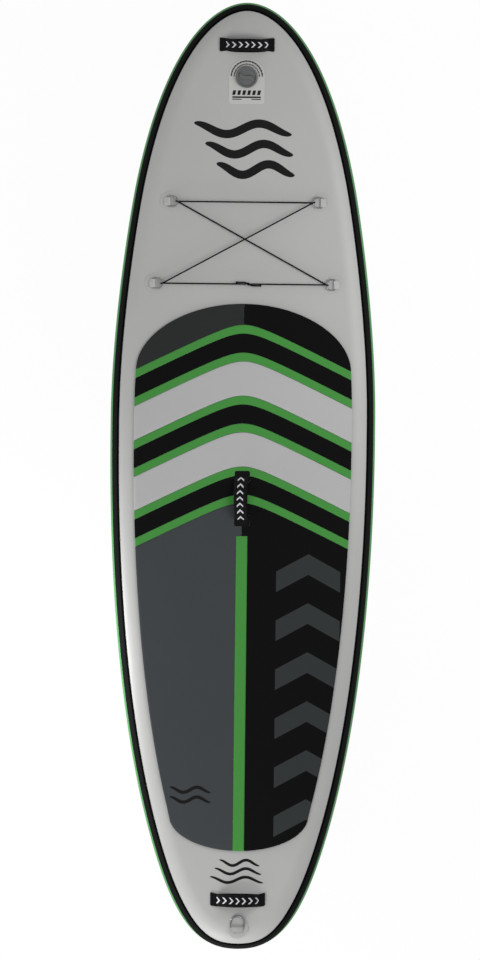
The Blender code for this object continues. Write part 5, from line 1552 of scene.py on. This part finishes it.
class BOARD_OT_cord(BoardOperator, bpy.types.Operator):
    """Make the crossed elastic cord with its knot; each corner is a piece of its own"""
    bl_idname = "board.make_cord"
    bl_label = "Cargo cord"

    def execute(self, context):
        look = context.scene.board_fittings
        braid = woven("cord_braid", look.cord, 0.0021, 1.0, 0.75, 0.02)
        bars, tips = {}, {}
        for name, size, _, x, y, turn, tilt in ring_places()[:4]:
            key = name.replace("cargo_", "")
            axes, origin = ring_place(x, y, turn, tilt)[1]
            bars[key], tips[key] = origin, origin + axes[:, 0] * size[1]
        route = cargo_route(tips)
        runs = [route[0]]
        for k, key in enumerate(("lower_right", "upper_left", "upper_right", "lower_left")):
            inwards = np.array((-1.0 if "right" in key else 1.0, 0.0, 0.0))
            edge = (bars[key] + CORNER_END * inwards)[0]
            before, turn, after = route[k:k + 3]
            strands = []
            for near, far in ((turn[0], before[-1]), (turn[-1], after[0])):
                share = (edge - near[0]) / (far[0] - near[0])
                strands.append(near + np.linspace(0, share, 14)[:, None] * (far - near))
            line = np.vstack([strands[0][:0:-1], turn, strands[1][1:]])
            runs[-1] = np.vstack([runs[-1], line[:1]])
            runs.append(line[-1:])
            bend = ("board", key + "_ring", tuple(bars[key] + BEND_START * inwards),
                    tuple(bars[key] + BEND_END * inwards))
            new_piece("cargo_cord_" + key, [tube(line, CORD_RADIUS, CORD_SIDES, (0, 0, 1))], braid, bend,
                      None, 60)
        runs[-1] = np.vstack([runs[-1], route[-1]])
        parts = [tube(resampled(run, np.linspace(0, 1, 120 if len(run) > 2 else 30)), CORD_RADIUS,
                      CORD_SIDES, (0, 0, 1)) for run in runs]
        parts += [whipping(route[0]), whipping(route[-1][::-1])]
        new_piece("cargo_cord_runs", parts, braid, "board", "cargo_cord", 60)
        return {"FINISHED"}


# Fins

def blade(base, tip, rake, depth, thick, levels, place):
    """A raked blade: at each level a round-nosed, thin-tailed section, with a point at the tip."""
    t = np.sin(np.linspace(0, math.pi / 2, levels)) ** BLADE_CROWD
    chord = tip + (base - tip) * np.sqrt(np.maximum(0, 1 - t ** BLADE_CURVE)) * (1 - BLADE_TAPER * t)
    back = -base / 2 - rake * t ** BLADE_RAKE
    close = np.sqrt(np.maximum(0, 1 - np.clip((t - BLADE_CLOSE) / BLADE_CLOSING, 0, 1) ** 2))
    back, chord = back + chord * 0.5 * (1 - close), chord * close
    half = thick / 2 * (1 - BLADE_THINS * t) * np.sqrt(np.maximum(close, 0))
    z = -depth * np.sin(math.pi / 2 * t)
    w = 0.5 * (1 - np.cos(np.linspace(0, math.pi, 25)))
    shape = 10 * sum(factor * w ** power for factor, power in BLADE_SECTION)
    x = np.concatenate([shape, -shape[-2:0:-1]])
    y = np.concatenate([1 - w, (1 - w)[-2:0:-1]])
    points = np.stack([half[:, None] * x, back[:, None] + chord[:, None] * y,
                       np.broadcast_to(z[:, None], (levels, len(y)))], axis=-1) + place
    return sheet(capped(points), False, True)


def prism_along(section, y0, y1):
    """A straight bar along y with a given section in x and z."""
    rings = [[(x, y, z) for x, z in section] for y in (y0, y1)]
    return sheet(capped(np.array(rings)), False, True)


class BOARD_OT_fins(BoardOperator, bpy.types.Operator):
    """Make the centre fin and the two side fins, and dress the fin box"""
    bl_idname = "board.make_fins"
    bl_label = "Fins"

    def execute(self, context):
        look = context.scene.board_fins
        plastic = moulded("fin_plastic", look.fin, 0.42, 0.22)
        fabric = coated_fabric("fin_patch_black", look.fin, 0.5, 0.2, 0.03)
        clip = moulded("clip_plastic", context.scene.board_fittings.valve, 0.45, 0.35)
        plate = BOTTOM_Z - GAP - PATCH - GAP - FIN_BOX_PLATE
        root, roof = plate - FIN_RAIL - GAP, plate - TAB_ROOF
        neck, head = TAB_NECK - FIN_CLEARANCE, TAB_HEAD - FIN_CLEARANCE
        shoulder = roof - TAB_HEAD_HEIGHT + FIN_CLEARANCE
        tab = [(neck, root - TAB_SINK), (neck, shoulder), (head, shoulder), (head, roof - FIN_CLEARANCE)]
        tab += [(-x, z) for x, z in tab[::-1]]
        middle = TAIL_Y + FIN_BOX_END + FIN_BOX_LENGTH / 2
        front = middle + FIN_BOX_LENGTH / 2 - FIN_STOP - FIN_RAIL_SHORT - FIN_CLEARANCE
        centre = np.array((0.0, front - TAB_LENGTH / 2, root))
        parts = [blade(*CENTRE_FIN, look.levels, centre), prism_along(tab, front - TAB_LENGTH, front)]
        new_piece("centre_fin_foil", parts, plastic, "fin", "centre_fin", 35)
        high = BOTTOM_Z - GAP
        low = high - FLANGE_THICK
        for sign, side in ((-1, "left"), (1, "right")):
            foot = np.array((sign * SIDE_FIN_X, middle, low + FOIL_SINK))
            foil = blade(*SIDE_FIN, look.levels, foot)
            levels = ((FLANGE, high), (FLANGE, low + FLANGE_BEVEL), (FLANGE_FACE, low))
            rings = [[(*point, z) for point in rounded_section(*size, 8) + foot[:2]]
                     for size, z in levels]
            flange = sheet(capped(np.array(rings)), False, True)
            new_piece("side_fin_" + side + "_foil", [foil, flange], plastic, "board",
                      "side_fin_" + side, 35)
        dress(plastic, "fin_box")
        dress(fabric, "fin_box_patch")
        dress(clip, "fin_clip")
        return {"FINISHED"}


# Stage

def area_light(name, place, target, size, power):
    """A square soft light that looks at a point."""
    data = bpy.data.lights.new(name, "AREA")
    data.size = size
    data.energy = power
    lamp = linked(name, data)
    lamp.location = place
    lamp.rotation_euler = (Vector(target) - Vector(place)).to_track_quat("-Z", "Y").to_euler()


def seen_rays(tree):
    """1 for rays from the camera, a mirror or clear material, and 0 for the rays that light things."""
    path = add(tree, "ShaderNodeLightPath")
    seen = math_node(tree, "MAXIMUM", path.outputs["Is Camera Ray"], path.outputs["Is Glossy Ray"])
    return math_node(tree, "MAXIMUM", seen, path.outputs["Is Transmission Ray"])


class BOARD_OT_stage(BoardOperator, bpy.types.Operator):
    """Set up the floor, the lights, the surround and the camera"""
    bl_idname = "board.make_stage"
    bl_label = "Stage"

    def execute(self, context):
        scene = context.scene
        look = scene.board_stage
        scene.view_settings.view_transform = "Standard"

        floor = bpy.data.materials.new("floor_white")
        floor.use_nodes = True
        tree = floor.node_tree
        tree.nodes.clear()
        share = math_node(tree, "MULTIPLY", seen_rays(tree), FLOOR_SEEN if look.shadows else 1.0)
        matt = add(tree, "ShaderNodeBsdfDiffuse", {"Color": (*(FLOOR_SHADE,) * 3, 1.0)})
        glow = add(tree, "ShaderNodeEmission", {"Color": (1.0, 1.0, 1.0, 1.0), "Strength": 1.0})
        mix = add(tree, "ShaderNodeMixShader", {"Fac": share, 1: matt.outputs[0], 2: glow.outputs[0]})
        add(tree, "ShaderNodeOutputMaterial", {"Surface": mix.outputs[0]})
        mesh = bpy.data.meshes.new("floor")
        corners = [(x * FLOOR_REACH, y * FLOOR_REACH, FLOOR_Z)
                   for x, y in ((-1, -1), (1, -1), (1, 1), (-1, 1))]
        mesh.from_pydata(corners, [], [(0, 1, 2, 3)])
        mesh.materials.append(floor)
        linked("floor", mesh)

        world = bpy.data.worlds.new("surround")
        world.use_nodes = True
        scene.world = world
        tree = world.node_tree
        level = math_node(tree, "MULTIPLY", seen_rays(tree), 1.0 - look.surround)
        level = math_node(tree, "ADD", level, look.surround)
        plug(tree, tree.nodes["Background"], {"Color": (1.0, 1.0, 1.0, 1.0), "Strength": level})

        for name, place, target, size in LIGHTS:
            area_light(name + "_light", place, target, size, getattr(look, name))

        data = bpy.data.cameras.new("camera")
        data.lens = look.lens
        data.sensor_width = SENSOR
        data.clip_start, data.clip_end = 1.0, 400.0
        camera = linked("camera", data)
        camera.location = (*VIEW_CENTRE, DECK_Z + VIEW_HEIGHT / SENSOR * look.lens)
        camera.rotation_euler = (0.0, 0.0, VIEW_TURN)
        scene.camera = camera
        return {"FINISHED"}


# Panel and registration

SETTINGS = (("board_hull", BoardHullSettings), ("board_pad", BoardPadSettings),
            ("board_marks", BoardMarkSettings), ("board_handles", BoardHandleSettings),
            ("board_fittings", BoardFittingSettings), ("board_fins", BoardFinSettings),
            ("board_stage", BoardStageSettings))
MAKERS = (BOARD_OT_stage, BOARD_OT_hull, BOARD_OT_pad, BOARD_OT_marks, BOARD_OT_handles, BOARD_OT_valve,
          BOARD_OT_rings, BOARD_OT_cord, BOARD_OT_fins)


class BOARD_PT_panel(bpy.types.Panel):
    """Lists the makers and their settings in the sidebar"""
    bl_idname = "BOARD_PT_panel"
    bl_label = "Paddle Board"
    bl_space_type = "VIEW_3D"
    bl_region_type = "UI"
    bl_category = "Paddle Board"

    def draw(self, context):
        for maker in MAKERS:
            self.layout.operator(maker.bl_idname)
        for key, kind in SETTINGS:
            box = self.layout.box()
            for name in kind.__annotations__:
                box.prop(getattr(context.scene, key), name)


def register():
    """Make the settings, the operators and the panel known to Blender."""
    for key, kind in SETTINGS:
        bpy.utils.register_class(kind)
        setattr(bpy.types.Scene, key, PointerProperty(type=kind))
    for kind in (*MAKERS, BOARD_PT_panel):
        bpy.utils.register_class(kind)


def unregister():
    """Take them back, in reverse order."""
    for kind in (BOARD_PT_panel, *MAKERS[::-1]):
        bpy.utils.unregister_class(kind)
    for key, kind in SETTINGS[::-1]:
        delattr(bpy.types.Scene, key)
        bpy.utils.unregister_class(kind)


def main():
    """Make every piece in order."""
    register()
    for maker in MAKERS:
        group, name = maker.bl_idname.split(".")
        getattr(getattr(bpy.ops, group), name)()


if __name__ == "__main__":
    main()
